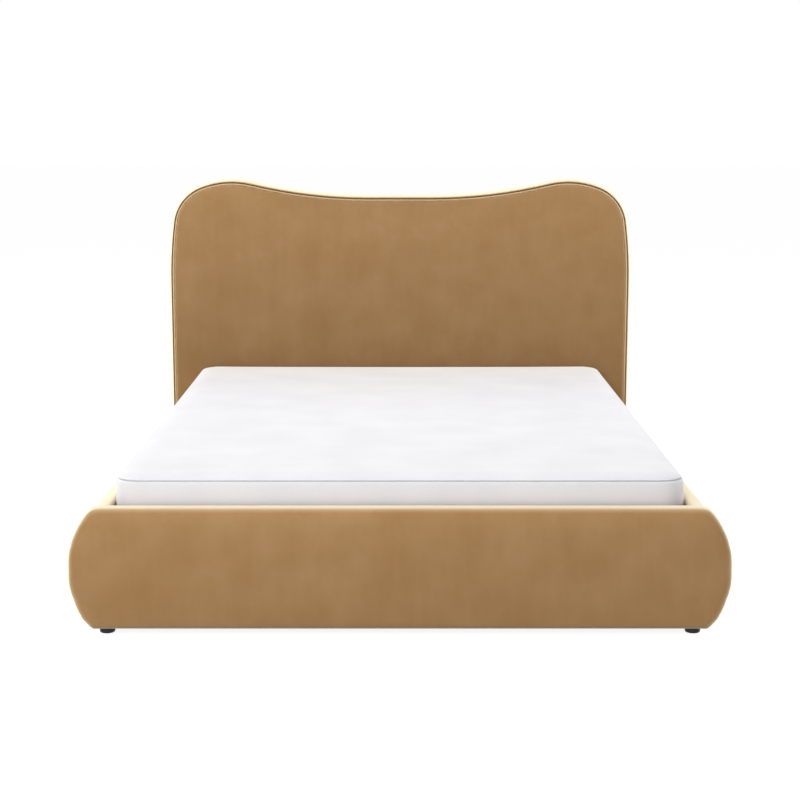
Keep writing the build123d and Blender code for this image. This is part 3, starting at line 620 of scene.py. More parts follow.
def padOf(piece, settings, isHeld, softAt=None):
    # a closed solid becomes an even mesh, swells, and is smoothed
    piece.data.remesh_voxel_size = settings["voxel"]
    makeActive(piece)
    bpy.ops.object.voxel_remesh()
    editAll(piece)
    bpy.ops.transform.shrink_fatten(value=-settings["shrink"])
    leaveEdit()
    puffUp(piece, settings, isHeld)
    smooth = piece.modifiers.new("even", "SMOOTH")
    smooth.factor = 0.5
    smooth.iterations = settings["even"]
    if softAt is not None:
        soft = piece.vertex_groups.new(name="soft")
        for point in piece.data.vertices:
            soft.add([point.index], softAt(point.co), "REPLACE")
        smooth.vertex_group = soft.name
    piece.modifiers.new("round", "SUBSURF").levels = 1
    applyAll(piece)
    piece.vertex_groups.clear()
    bpy.ops.object.shade_smooth()
    return piece


headboardShape = {
    "voxel": 0.0125,
    "shrink": 0.0005,
    "grow": Vector((0.0022, 0.0022, 0.0020)),
    "pressure": 4.0,
    "cap": 0.0035,
    "frames": 20,
    "even": 2,
    "faceDepth": 0.002,  # how far behind the seam's front the cushion starts before it swells
    "heldDepth": 0.03,  # how far from its back the foam is glued down
    "inset": 0.0005,  # the seam lies this far out of the board's outline
}
cushionLow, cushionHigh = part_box("headboard_cushion")
headboardCushion = copyOfNodes("headboardCushion", "headboard_cushion")
editAll(headboardCushion)
keepFlatFace(headboardCushion, 1)
cushionDepth = cushionHigh.y - cushionLow.y - headboardShape["faceDepth"]
extrudeBy((0.0, -cushionDepth, 0.0))
faceOutwards()
leaveEdit()
padOf(headboardCushion, headboardShape, lambda co: co.y > cushionHigh.y - headboardShape["heldDepth"])
cushionGrow = headboardShape["grow"]
fitBox(
    headboardCushion,
    Vector((cushionLow.x - cushionGrow.x, cushionLow.y - cushionGrow.y, cushionLow.z)),
    Vector((cushionHigh.x + cushionGrow.x, cushionHigh.y, cushionHigh.z + cushionGrow.z)),
)
finishPiece(headboardCushion, velvetCloth("headboardVelvet"), "base", "velvet", "headboard_cushion")


def headboardRim(name):
    # the headboard's outline from its left bottom corner over both humps to its right bottom corner
    piece = copyOfNodes(name, "headboard_board")
    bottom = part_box("headboard_board")[0].z + millimetre
    editAll(piece)
    keepFlatFace(piece, -1)
    bpy.ops.mesh.select_all(action="SELECT")
    bpy.ops.mesh.delete(type="ONLY_FACE")
    pickEdges(piece, lambda first, second: first.z < bottom and second.z < bottom)
    bpy.ops.mesh.delete(type="EDGE")
    leaveEdit()
    return piece


def rimDirections(piece):
    # each point of the outline, and the way out of the headboard there
    links = {}
    for edge in piece.data.edges:
        first, second = edge.vertices
        links.setdefault(first, []).append(second)
        links.setdefault(second, []).append(first)
    points = piece.data.vertices
    middle = Vector((0.0, 0.0, (cushionLow.z + cushionHigh.z) / 2))
    found = []
    for index, near in links.items():
        if len(near) == 2:
            along = points[near[0]].co - points[near[1]].co
            out = Vector((along.z, 0.0, -along.x)).normalized()
            reach = points[index].co - middle
            reach.y = 0.0
            if out.dot(reach) < 0:
                out = -out
        else:
            out = Vector((math.copysign(1.0, points[index].co.x), 0.0, 0.0))
        found.append((points[index].co.copy(), out))
    return found


def nearestRim(directions, co):
    # the outline's point nearest to co, seen from the front, and the way out there
    return min(directions, key=lambda entry: (entry[0].x - co.x) ** 2 + (entry[0].z - co.z) ** 2)


def loftRim(name, section, sewnFrom, sewnTo):
    # the outline grows through a closed section of (way out of the seam, place along the bed);
    # the shade of the seam grows from sewnFrom to sewnTo, two of those ways out
    piece = headboardRim(name)
    directions = rimDirections(piece)
    editAll(piece)
    bpy.ops.mesh.select_mode(type="VERT")

    def placed(co, out, along):
        near, way = nearestRim(directions, co)
        flat = near + way * (out + headboardShape["inset"])
        return Vector((flat.x, along, flat.z))

    mesh = bmesh.from_edit_mesh(piece.data)
    for point in mesh.verts:
        point.co = placed(point.co, *section[0])
    bmesh.update_edit_mesh(piece.data)
    for out, along in (*section[1:], section[0]):
        extrudeRim(piece, lambda co: placed(co, out, along))
    closeTube(rowGap)
    leaveEdit()
    smoothUpTo(50)

    def sewnShare(co):
        near, way = nearestRim(directions, co)
        out = (co - near).dot(way) - headboardShape["inset"]
        return (out - sewnFrom) / (sewnTo - sewnFrom)

    markSeamShade(piece, sewnShare)
    return piece


# the border slopes back from the seam, turns over the edge and goes round to the back cover
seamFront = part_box("headboard_border")[0].y
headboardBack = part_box("headboard_border")[1].y
borderShape = {
    # (way out of the seam, depth behind the seam's front), from inside the seam to the edge
    "front": (
        (-0.0002, 0.0300),
        (-0.0002, 0.0040),
        (0.0004, 0.0012),
        (0.0012, 0.0004),
        (0.0028, 0.0012),
        (0.0050, 0.0034),
        (0.0073, 0.0072),
        (0.0093, 0.0125),
        (0.0108, 0.0200),
        (0.0118, 0.0310),
    ),
    # (way out of the seam, place in front of the headboard's back), from the edge inwards
    "rear": ((0.0118, 0.0090), (0.0106, 0.0038), (0.0074, 0.0010), (0.0036, 0.0002), (-0.0002, 0.0002)),
    "sewn": (0.0014, 0.0001),  # the ways out between which the seam's shade grows
}
borderSection = [(out, seamFront + depth) for out, depth in borderShape["front"]]
borderSection += [(out, headboardBack - depth) for out, depth in borderShape["rear"]]
headboardBorder = loftRim("headboardBorder", borderSection, *borderShape["sewn"])
finishPiece(headboardBorder, velvetCloth("borderVelvet"), "base", "velvet", "headboard_border")

# the piping is a round cord in velvet, with a flat tail that is sewn in against the border
pipingShape = {
    "radius": 0.0023,
    "inset": 0.0056,
    "forward": 0.0005,
    "faces": 12,
    "tail": -0.0006,
    "tailDepths": (0.0050, 0.0064),
    "sewn": (-0.0046, -0.0034),
}
pipingSection = []
for number in range(1, pipingShape["faces"]):
    turn = 2 * math.pi * (number + 1) / pipingShape["faces"]
    out = pipingShape["radius"] * math.cos(turn) - pipingShape["inset"]
    along = seamFront - pipingShape["forward"] + pipingShape["radius"] * math.sin(turn)
    pipingSection.append((out, along))
for depth in pipingShape["tailDepths"]:
    pipingSection.append((pipingShape["tail"], seamFront + depth))
headboardPiping = loftRim("headboardPiping", pipingSection, *pipingShape["sewn"])
finishPiece(headboardPiping, velvetCloth("pipingVelvet"), "base", "velvet", "headboard_piping")

footboardShape = {
    "voxel": 0.009,
    "shrink": -0.001,
    "pressure": 4.0,
    "cap": 0.003,
    "frames": 20,
    "even": 22,
    "hardBelow": 0.035,  # under this height the roll is tight, and above softFrom it's soft
    "softFrom": 0.090,
    "hardness": 0.05,
    "rise": Vector((0.009, 0.0, 0.006)),
    "lip": 0.015,  # how far the roll hangs below the board along its front
    "lipDepth": 0.028,
    "lipHeight": 0.060,
    "lean": 0.018,  # how far the front leans back at its top, over the leanHeight below it
    "leanHeight": 0.075,
    "fuller": 0.006,  # how much the ends swell in their lower part, up to fullerHeight
    "fullerHeight": 0.160,
    "fullerCurve": 0.7,
    "cornerRound": 0.008,  # how far the lower corners are drawn in, over the cornerHeight above them
    "cornerHeight": 0.034,
    "cornerCurve": 1.2,
    "endFrom": 0.70,  # both are in full where a point lies endFrom + endWidth from the middle
    "endWidth": 0.12,
    "heldDepth": 0.010,
}
footboardLow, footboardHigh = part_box("footboard_pad")
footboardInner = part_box("footboard_board")[1].y


def footboardSoftness(co):
    hardBelow, hardness = footboardShape["hardBelow"], footboardShape["hardness"]
    share = (co.z - hardBelow) / (footboardShape["softFrom"] - hardBelow)
    return hardness + (1 - hardness) * clamp(share)


footboardPad = padOf(
    copyOfNodes("footboardPad", "footboard_pad", "footboard_board"),
    footboardShape,
    lambda co: co.y > footboardInner - footboardShape["heldDepth"],
    footboardSoftness,
)
footboardHigh.y = footboardInner - boardGap
footboardHigh += footboardShape["rise"]
footboardLow.x -= footboardShape["rise"].x
fitBox(footboardPad, footboardLow, footboardHigh)


def rollFootboard(co):
    # the front hangs in a lip and leans back at its top
    forward = (footboardLow.y + footboardShape["lipDepth"] - co.y) / footboardShape["lipDepth"]
    down = (footboardLow.z + footboardShape["lipHeight"] - co.z) / footboardShape["lipHeight"]
    co.z -= footboardShape["lip"] * clamp(2 * forward) * max(0.0, down)
    up = 1 + (co.z - footboardHigh.z) / footboardShape["leanHeight"]
    depthShare = (footboardHigh.y - co.y) / (footboardHigh.y - footboardLow.y)
    co.y += footboardShape["lean"] * max(0.0, up) ** 2 * depthShare


def swellEnds(co):
    above = co.z - footboardLow.z + footboardShape["lip"]
    share = clamp(above / footboardShape["fullerHeight"]) ** footboardShape["fullerCurve"]
    cornerShare = max(0.0, 1 - above / footboardShape["cornerHeight"]) ** footboardShape["cornerCurve"]
    outward = footboardShape["fuller"] * math.sin(math.pi * share)
    outward -= footboardShape["cornerRound"] * cornerShare
    endShare = clamp((abs(co.x) - footboardShape["endFrom"]) / footboardShape["endWidth"])
    co.x += math.copysign(1, co.x) * outward * endShare


for point in footboardPad.data.vertices:
    rollFootboard(point.co)
    swellEnds(point.co)
finishPiece(footboardPad, materials["velvet"], "base", "velvet", "footboard_pad")

railShape = {
    "voxel": 0.012,
    "shrink": 0.0,
    "pressure": 4.0,
    "cap": 0.003,
    "frames": 20,
    "even": 3,
    "heldDepth": 0.012,
}
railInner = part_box("side_rail_board_right")[0].x
for side in ("left", "right"):
    railLow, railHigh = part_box("side_rail_pad_" + side)
    railPad = padOf(
        copyOfNodes("sideRailPad" + side.capitalize(), "side_rail_pad_" + side, "side_rail_board_" + side),
        railShape,
        lambda co: abs(co.x) < railInner + railShape["heldDepth"],
    )
    if side == "left":
        railHigh.x = -railInner - boardGap
    else:
        railLow.x = railInner + boardGap
    fitBox(railPad, railLow, railHigh)
    finishPiece(railPad, materials["velvet"], "base", "velvet", "side_rail_pad_" + side)

print("stage 3: headboard, footboard and rails are upholstered")

# mattress: a grid for its top, and rows of points down its side for roll, seams and border
mattressShape = {
    "cell": 0.020,
    "inset": 0.020,
    "corner": 0.034,
    "pressure": 4.0,
    "cap": 0.005,
    "frames": 20,
    "spread": 0.010,  # how much wider it is than the solid on each side, longer at each end, and higher
    "spreadAlong": 0.003,
    "crown": 0.009,
    "seamDepth": 0.0108,
    "seamWidth": 0.0012,
    "headBulge": 0.4,  # the head end swells less, because the retainers stand there
    # the rows below the top, as (way out of the grid's rim, depth below the top)
    "rows": (
        (0.0080, 0.0006),
        (0.0140, 0.0024),
        (0.0185, 0.0054),
        (0.0200, 0.0082),
        (0.0130, 0.0108),
        (0.0210, 0.0122),
        (0.0232, 0.0146),
        (0.0236, 0.0180),
        (0.0246, 0.0300),
        (0.0262, 0.0600),
        (0.0262, 0.1050),
        (0.0240, 0.1360),
        (0.0226, 0.1430),
        (0.0212, 0.1462),
        (0.0170, 0.1480),
        (0.0200, 0.1500),
        (0.0196, 0.1540),
        (0.0150, 0.1580),
        (0.0090, 0.1598),
        (0.0000, 0.1600),
    ),
    "held": ((0.0070, 0.0240), (0.1380, 0.1620)),  # depths where the seams keep the cloth in
}
mattressLow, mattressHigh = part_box("mattress")
gridSize = Vector((
    mattressHigh.x - mattressLow.x - 2 * mattressShape["inset"],
    mattressHigh.y - mattressLow.y - 2 * mattressShape["inset"],
))
mattressMiddle = (mattressLow + mattressHigh) / 2
mattressPad = newGrid(
    "mattressPad",
    round(gridSize.x / mattressShape["cell"]),
    round(gridSize.y / mattressShape["cell"]),
    (mattressMiddle.x, mattressMiddle.y, mattressHigh.z),
)
mattressPad.scale = (gridSize.x, gridSize.y, 1.0)
applyPlace(mattressPad)


def cornerReach(co):
    # the corner square nearest to a point: its centre, which way it lies, and how far in the point is
    sign = Vector((math.copysign(1, co.x - mattressMiddle.x), math.copysign(1, co.y - mattressMiddle.y)))
    centre = mattressMiddle.xy + Vector((
        sign.x * (gridSize.x / 2 - mattressShape["corner"]),
        sign.y * (gridSize.y / 2 - mattressShape["corner"]),
    ))
    reach = Vector(((co.x - centre.x) * sign.x, (co.y - centre.y) * sign.y))
    return centre, sign, reach


for point in mattressPad.data.vertices:
    centre, sign, reach = cornerReach(point.co)
    if min(reach) > 0:
        # a square's points drawn in to a quarter of a round
        u, v = reach / mattressShape["corner"]
        point.co.x = centre.x + u * math.sqrt(1 - v * v / 2) * mattressShape["corner"] * sign.x
        point.co.y = centre.y + v * math.sqrt(1 - u * u / 2) * mattressShape["corner"] * sign.y

mattressUnder = copyOf(mattressPad, "mattressUnder", Vector((0.0, 0.0, mattressLow.z - mattressHigh.z)))


def outwardAt(co):
    centre, sign, reach = cornerReach(co)
    if min(reach) > 0:
        way = reach.normalized()
    elif reach.x > reach.y:
        way = Vector((1.0, 0.0))
    else:
        way = Vector((0.0, 1.0))
    return Vector((way.x * sign.x, way.y * sign.y, 0.0))


editAll(mattressPad)
bpy.ops.mesh.select_mode(type="EDGE")
bpy.ops.mesh.select_all(action="DESELECT")
bpy.ops.mesh.select_non_manifold()
lastOut = 0.0
for out, depth in mattressShape["rows"]:
    step = out - lastOut
    level = mattressHigh.z - depth
    extrudeRim(mattressPad, lambda co: Vector((co.x, co.y, level)) + outwardAt(co) * step)
    lastOut = out
leaveEdit()
mattressPad = joinAll("mattressPad", [mattressPad, mattressUnder])
editAll(mattressPad)
bpy.ops.mesh.remove_doubles(threshold=rowGap)
faceOutwards()
leaveEdit()
for point in mattressPad.data.vertices:
    if point.co.y > mattressHigh.y:
        point.co.y = mattressHigh.y + (point.co.y - mattressHigh.y) * mattressShape["headBulge"]


def isSewn(co):
    depth = mattressHigh.z - co.z
    return any(first < depth < last for first, last in mattressShape["held"])


puffUp(mattressPad, mattressShape, isSewn)
# the mattress's seam gets painted shade in a band round its side
seamLevel = mattressHigh.z - mattressShape["seamDepth"]
markSeamShade(mattressPad, lambda co: 1 - abs(co.z - seamLevel) / mattressShape["seamWidth"])
mattressPad.modifiers.new("round", "SUBSURF").levels = 1
applyAll(mattressPad)
mattressSpread = Vector((mattressShape["spread"], mattressShape["spreadAlong"], 0.0))
mattressCrown = Vector((0.0, 0.0, mattressShape["crown"]))
fitBox(mattressPad, mattressLow - mattressSpread, mattressHigh + mattressSpread + mattressCrown)
bpy.ops.object.shade_smooth()
finishPiece(mattressPad, materials["mattress_fabric"], "platform", "mattress_fabric", "mattress")

print("stage 4: the mattress lies on the slats")

# feet: round cups with a rolled lower rim, and a shallow seat for a glide underneath
footShape = {
    "radius": 0.0203,
    "sides": 64,
    "rim": 0.0042,
    "rimSteps": 6,
    "seat": 0.006,
    "seatWall": 0.0003,
    "seatDepth": 0.0015,
}
footNames = ("front_left", "front_right", "rear_left", "rear_right")
footLow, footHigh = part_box("foot_" + footNames[0])
footMiddle = (footLow + footHigh) / 2
firstFoot = newCylinder("firstFoot", footShape, footHigh.z - footLow.z, footMiddle)
editAll(firstFoot)
pickEdges(firstFoot, lambda first, second: max(first.z, second.z) < footLow.z + millimetre)
bpy.ops.mesh.bevel(offset=footShape["rim"], segments=footShape["rimSteps"], affect="EDGES")
pickFaces(firstFoot, lambda centre, normal: normal.z < -0.999)
bpy.ops.mesh.inset(thickness=footShape["seat"])
bpy.ops.mesh.inset(thickness=footShape["seatWall"], depth=-footShape["seatDepth"])
leaveEdit()
smoothUpTo(40)
for number, footName in enumerate(footNames):
    low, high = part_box("foot_" + footName)
    foot = copyOf(firstFoot, "foot" + str(number + 1), (low + high) / 2 - footMiddle)
    finishPiece(foot, materials["black_plastic"], "base", "black_plastic", "foot_" + footName)
bpy.data.objects.remove(firstFoot)

# staples and screws, each modelled once
stapleShape = {"crown": 0.010, "width": 0.0012, "thick": 0.0006, "leg": 0.0010, "legFrom": 0.4, "steps": 8}
screwShape = {
    "radius": 0.0042,
    "head": 0.0022,
    "sides": 24,
    "rim": 0.0012,
    "rimSteps": 3,
    "socket": 0.0018,
    "socketWall": 0.0002,
    "depth": 0.0011,
}


def makeStaple():
    piece = newGrid("staple", stapleShape["steps"], 1)
    piece.scale = (stapleShape["crown"], stapleShape["width"], 1.0)
    applyPlace(piece)
    editAll(piece)
    extrudeBy((0.0, 0.0, stapleShape["thick"]))
    faceOutwards()
    legFrom = stapleShape["legFrom"] * stapleShape["crown"]
    pickFaces(piece, lambda centre, normal: normal.z < -0.9 and abs(centre.x) > legFrom)
    extrudeBy((0.0, 0.0, -stapleShape["leg"]))
    leaveEdit()
    return piece


def makeScrew():
    piece = newCylinder("screw", screwShape, screwShape["head"], (0.0, 0.0, screwShape["head"] / 2))
    editAll(piece)
    pickEdges(piece, lambda first, second: min(first.z, second.z) > screwShape["head"] - rowGap)
    bpy.ops.mesh.bevel(offset=screwShape["rim"], segments=screwShape["rimSteps"], affect="EDGES")
    pickFaces(piece, lambda centre, normal: normal.z > 0.999)
    bpy.ops.mesh.inset(thickness=screwShape["radius"] - screwShape["rim"] - screwShape["socket"])
    bpy.ops.mesh.inset(thickness=screwShape["socketWall"], depth=-screwShape["depth"])
    leaveEdit()
    smoothUpTo(35)
    return piece


# velvet turned over the top of the rails and the footboard, and stapled down inside the box
turnOver = {
    "low": 0.262,
    "high": 0.326,
    "thick": 0.0009,
    "wave": 0.0016,  # how far its lower edge waves up and down, and in and out
    "waveDepth": 0.0002,
    "waveLength": 0.085,
    "cell": 0.012,
    "rows": 5,
    "off": 0.0002,  # the cloth and its staples stand this far off what they lie on
    "stapleOff": 0.0003,
    "stapleHeight": 0.016,
    "staplePitch": 0.06,
    "endGap": 0.002,
    "headGap": 0.001,
}
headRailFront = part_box("head_rail_board")[0].y


def turnOverStrip(name, first, last, inward):
    # a wavy strip between two corners on the inner face of a board
    length = (last - first).length
    piece = newGrid(name, round(length / turnOver["cell"]), turnOver["rows"])
    for point in piece.data.vertices:
        along, up = point.co.x + 0.5, point.co.y + 0.5
        wave = math.sin(2 * math.pi * along * length / turnOver["waveLength"])
        off = turnOver["off"] + turnOver["waveDepth"] * (1 + wave) * (1 - up)
        place = first.lerp(last, along) + inward * off
        place.z = turnOver["low"] + (turnOver["high"] - turnOver["low"]) * up
        place.z += wave * turnOver["wave"] * (1 - up)
        point.co = place
    editAll(piece)
    extrudeBy(inward * turnOver["thick"])
    faceOutwards()
    leaveEdit()
    smoothUpTo(50)
    finishPiece(piece, materials["velvet"], "base", "velvet")
    spots = []
    count = int(length / turnOver["staplePitch"])
    for number in range(count):
        off = turnOver["stapleOff"] + turnOver["thick"]
        spot = first.lerp(last, (number + 0.5) / count) + inward * off
        spot.z = turnOver["low"] + turnOver["stapleHeight"]
        spots.append((spot, inward, (last - first).normalized()))
    staples = copiesJoined(makeStaple(), name + "Staples", spots)
    finishPiece(staples, materials["zinc_steel"], "base", "zinc_steel")


for sign, side in ((-1, "Left"), (1, "Right")):
    turnOverStrip(
        "turnOver" + side,
        Vector((sign * railInner, footboardInner + turnOver["endGap"], 0.0)),
        Vector((sign * railInner, headRailFront - turnOver["headGap"], 0.0)),
        Vector((-sign, 0.0, 0.0)),
    )
turnOverStrip(
    "turnOverFoot",
    Vector((turnOver["endGap"] - railInner, footboardInner, 0.0)),
    Vector((railInner - turnOver["endGap"], footboardInner, 0.0)),
    Vector((0.0, 1.0, 0.0)),
)

# screws that hold the lift plates and the rest brackets to the rails
screwRows = {
    "plateShares": (0.17, 0.55, 0.78),  # along the plate
    "plateEdge": 0.010,
    "bracketWidth": 0.050,
    "bracketThick": 0.003,
    "bracketSpan": 0.014,
    "bracketHeight": 0.016,
}
plateLow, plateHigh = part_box("lift_plate_right")
bracketLow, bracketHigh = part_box("rest_brackets")
screwPlaces = []
for share in screwRows["plateShares"]:
    for level in (plateLow.z + screwRows["plateEdge"], plateHigh.z - screwRows["plateEdge"]):
        screwPlaces.append((plateLow.x, plateLow.y + share * (plateHigh.y - plateLow.y), level))
bracketFace = bracketHigh.x - screwRows["bracketThick"]
for middle in (bracketLow.y + screwRows["bracketWidth"] / 2, bracketHigh.y - screwRows["bracketWidth"] / 2):
    for shift in (-screwRows["bracketSpan"], screwRows["bracketSpan"]):
        screwPlaces.append((bracketFace, middle + shift, bracketLow.z + screwRows["bracketHeight"]))
screwSpots = []
for sign in (-1, 1):
    for x, y, z in screwPlaces:
        screwSpots.append((Vector((sign * x, y, z)), (-sign, 0.0, 0.0), (0.0, 1.0, 0.0)))
mountScrews = copiesJoined(makeScrew(), "mountScrews", screwSpots)
finishPiece(mountScrews, materials["zinc_steel"], "base", "zinc_steel")

# weld beads in the inside corners of the platform's frame, and under its side tubes beside the lift arms
weldShape = {
    "length": 0.0215,
    "radius": 0.0021,
    "ripples": 11,
    "rippleDepth": 0.14,
    "rippleSteps": 4,
    "endRadius": 0.2,  # the share of the radius that is left at its ends
    "endCurve": 8,
    "sides": 10,
    "armShares": (0.16, 0.27, 0.66, 0.77),  # where the beads lie along a lift arm
}


def makeWeld():
    ripples = weldShape["ripples"]
    piece = newGrid("weld", ripples * weldShape["rippleSteps"], weldShape["sides"])
    for point in piece.data.vertices:
        along, turn = point.co.x, 2 * math.pi * (point.co.y + 0.5)
        swell = 1 + weldShape["rippleDepth"] * math.sin(2 * math.pi * ripples * along)
        endDrop = (2 * abs(along)) ** weldShape["endCurve"]
        taper = math.sqrt(max(weldShape["endRadius"] ** 2, 1 - endDrop))
        radius = weldShape["radius"] * swell * taper
        point.co = Vector((along * weldShape["length"], radius * math.cos(turn), radius * math.sin(turn)))
    editAll(piece)
    closeTube(mergeGap)
    leaveEdit()
    smoothUpTo(60)
    return piece


tubeLow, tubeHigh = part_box("lid_side_tube_right")
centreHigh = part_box("lid_centre_tube")[1]
crossLow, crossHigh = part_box("lid_cross_tubes")
tubeWidth = tubeHigh.z - tubeLow.z
weldLevel = (tubeLow.z + tubeHigh.z) / 2
weldYs = (
    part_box("lid_foot_tube")[1].y,
    crossLow.y,
    crossLow.y + tubeWidth,
    crossHigh.y - tubeWidth,
    crossHigh.y,
    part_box("lid_head_tube")[0].y,
)
armLow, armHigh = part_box("lift_arm_right")
weldSpots = []
for sign in (-1, 1):
    for x in (centreHigh.x, tubeLow.x):
        for y in weldYs:
            weldSpots.append((Vector((sign * x, y, weldLevel)), (1.0, 0.0, 0.0), (0.0, 0.0, 1.0)))
    for share in weldShape["armShares"]:
        spot = Vector((sign * armLow.x, armLow.y + share * (armHigh.y - armLow.y), tubeLow.z))
        weldSpots.append((spot, (0.0, 0.0, 1.0), (0.0, 1.0, 0.0)))
weldBeads = copiesJoined(makeWeld(), "weldBeads", weldSpots)
finishPiece(weldBeads, materials["frame_paint"], "platform", "frame_paint")

# back cover: bonded cloth, stretched over the back of the headboard and stapled round its edge
coverShape = {
    "cell": 0.055,
    "thick": 0.0005,
    "face": 0.001,  # how far behind the board's face it lies
    "pucker": 0.0006,
    "waves": ((23.0, 5.0), (-3.0, 19.0)),  # of the pucker, across and up
    "stapleFace": 0.0016,
    "stapleInset": 0.010,
    "staplePitch": 0.045,
    "sideStaples": 14,
    "bottomGap": 0.020,  # the side rows start this far up
    "humpHeight": 0.3,  # a height to look round from, when the staples are set along the humps
}
coverLow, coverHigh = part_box("headboard_back_cover")
backCover = copyOfNodes("backCover", "headboard_back_cover")
editAll(backCover)
keepFlatFace(backCover, 1)
for axis, low, high in ((0, coverLow.x, coverHigh.x), (2, coverLow.z, coverHigh.z)):
    cuts = round((high - low) / coverShape["cell"])
    for number in range(1, cuts):
        place, normal = [0.0, 0.0, 0.0], [0.0, 0.0, 0.0]
        place[axis] = low + (high - low) * number / cuts
        normal[axis] = 1.0
        bpy.ops.mesh.select_all(action="SELECT")
        bpy.ops.mesh.bisect(plane_co=place, plane_no=normal)
leaveEdit()
for point in backCover.data.vertices:
    ripple = math.prod(
        math.sin(across * point.co.x + up * point.co.z) for across, up in coverShape["waves"]
    )
    point.co.y = coverLow.y + coverShape["face"] + coverShape["pucker"] * ripple
backCover.modifiers.new("thick", "SOLIDIFY").thickness = coverShape["thick"]
applyAll(backCover)
smoothUpTo(50)
finishPiece(backCover, materials["dust_cover"], "base", "dust_cover", "headboard_back_cover")
rimForStaples = headboardRim("rimForStaples")
rimSpots = rimDirections(rimForStaples)
bpy.data.objects.remove(rimForStaples)
rimSpots.sort(key=lambda entry: math.atan2(entry[0].x, entry[0].z - coverShape["humpHeight"]))
stapleFace = coverLow.y + coverShape["stapleFace"]
rowsFrom = coverLow.z + coverShape["bottomGap"]
back = (0.0, 1.0, 0.0)
stapleSpots = []
lastSpot = None
for near, out in rimSpots:
    spot = near - out * coverShape["stapleInset"]
    spot.y = stapleFace
    isFar = lastSpot is None or (spot - lastSpot).length > coverShape["staplePitch"]
    if isFar and spot.z > rowsFrom:
        stapleSpots.append((spot, back, (out.z, 0.0, -out.x)))
        lastSpot = spot
bottomCount = round((coverHigh.x - coverLow.x) / coverShape["staplePitch"])
for number in range(1, bottomCount):
    x = coverLow.x + (coverHigh.x - coverLow.x) * number / bottomCount
    spot = Vector((x, stapleFace, coverLow.z + coverShape["stapleInset"]))
    stapleSpots.append((spot, back, (1.0, 0.0, 0.0)))
for number in range(coverShape["sideStaples"]):
    level = rowsFrom + coverShape["staplePitch"] * number
    for x in (coverLow.x + coverShape["stapleInset"], coverHigh.x - coverShape["stapleInset"]):
        stapleSpots.append((Vector((x, stapleFace, level)), back, (0.0, 0.0, 1.0)))
coverStaples = copiesJoined(makeStaple(), "coverStaples", stapleSpots)
finishPiece(coverStaples, materials["zinc_steel"], "base", "zinc_steel")

# pull tab: webbing folded into a loop, flat at the tube and open at its lower end
tabShape = {
    "thick": 0.0012,
    "gap": 0.0001,  # between its two layers, and between it and the tube
    "loop": 0.0036,
    "straight": 0.38,  # the share of the webbing in each of the two layers
    "opensFrom": 0.55,  # from this share of a layer's length down, the layers part
    "rearOpening": 0.3,
    "frontOpening": 1.2,
    "columns": 6,
    "rows": 44,
    "stitchRows": 2,
    "stitches": 6,
    "stitchPitch": 0.0055,
    "firstRow": 0.006,
    "rowPitch": 0.015,
    "stitchScale": (0.38, 0.6, 0.6),  # of a staple
}
tabLow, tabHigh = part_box("pull_tab")
loopMiddle = tabLow.z + tabShape["loop"] + tabShape["thick"]
tabWidth = tabHigh.x - tabLow.x
tabBack = tabHigh.y - tabShape["thick"] / 2  # the middle of the rear layer where it touches the tube
pullTab = newGrid("pullTab", tabShape["columns"], tabShape["rows"])


def tabPlace(share):
    # down the layer at the tube, round the loop, and up the layer in front
    straight = tabShape["straight"]
    rear = tabBack - tabShape["gap"]
    front = rear - tabShape["thick"] - tabShape["gap"]
    isRear = share < straight
    isLoop = straight <= share <= 1 - straight
    down = 1.0 if isLoop else min(share, 1 - share) / straight
    opened = clamp((down - tabShape["opensFrom"]) / (1 - tabShape["opensFrom"])) ** 2 * tabShape["loop"]
    rear = min(rear + opened * tabShape["rearOpening"], tabBack)
    front -= opened * tabShape["frontOpening"]
    if isLoop:
        turn = math.pi * (share - straight) / (1 - 2 * straight)
        y = (rear + front) / 2 + (rear - front) / 2 * math.cos(turn)
        return y, loopMiddle - tabShape["loop"] * math.sin(turn)
    return rear if isRear else front, tabHigh.z + (loopMiddle - tabHigh.z) * down


for point in pullTab.data.vertices:
    y, z = tabPlace(point.co.y + 0.5)
    point.co = Vector((point.co.x * tabWidth, y, z))
pullTab.modifiers.new("thick", "SOLIDIFY").thickness = tabShape["thick"]
pullTab.modifiers["thick"].offset = 0.0
applyAll(pullTab)
smoothUpTo(50)
finishPiece(pullTab, materials["webbing"], "platform", "webbing", "pull_tab")
stitchSpots = []
tabFront = tabHigh.y - 2 * tabShape["thick"] - 2 * tabShape["gap"]
for row in range(tabShape["stitchRows"]):
    level = tabHigh.z - tabShape["firstRow"] - row * tabShape["rowPitch"]
    for number in range(tabShape["stitches"]):
        x = (number - (tabShape["stitches"] - 1) / 2) * tabShape["stitchPitch"]
        stitchSpots.append((Vector((x, tabFront, level)), (0.0, -1.0, 0.0), (1.0, 0.0, 0.0)))
tabStitch = makeStaple()
editAll(tabStitch)
bpy.ops.transform.resize(value=tabShape["stitchScale"], center_override=(0.0, 0.0, 0.0))
leaveEdit()
tabStitches = copiesJoined(tabStitch, "tabStitches", stitchSpots)
finishPiece(tabStitches, materials["mattress_fabric"], "platform", "mattress_fabric")

print("stage 5: feet, fixings, back cover and pull tab are on")

# camera, floor and light
photoView = {"place": (0.0, -5.229, 1.325), "tilt": 9.62, "lens": 73.79, "sensor": 36.0, "farEnd": 200.0}
cameraData = bpy.data.cameras.new("photoCamera")
cameraData.lens = photoView["lens"]
cameraData.sensor_width = photoView["sensor"]
cameraData.clip_end = photoView["farEnd"]
photoCamera = bpy.data.objects.new("photoCamera", cameraData)
photoCamera.location = photoView["place"]
photoCamera.rotation_euler = (math.radians(90 - photoView["tilt"]), 0.0, 0.0)
bpy.context.scene.collection.objects.link(photoCamera)
bpy.context.scene.camera = photoCamera

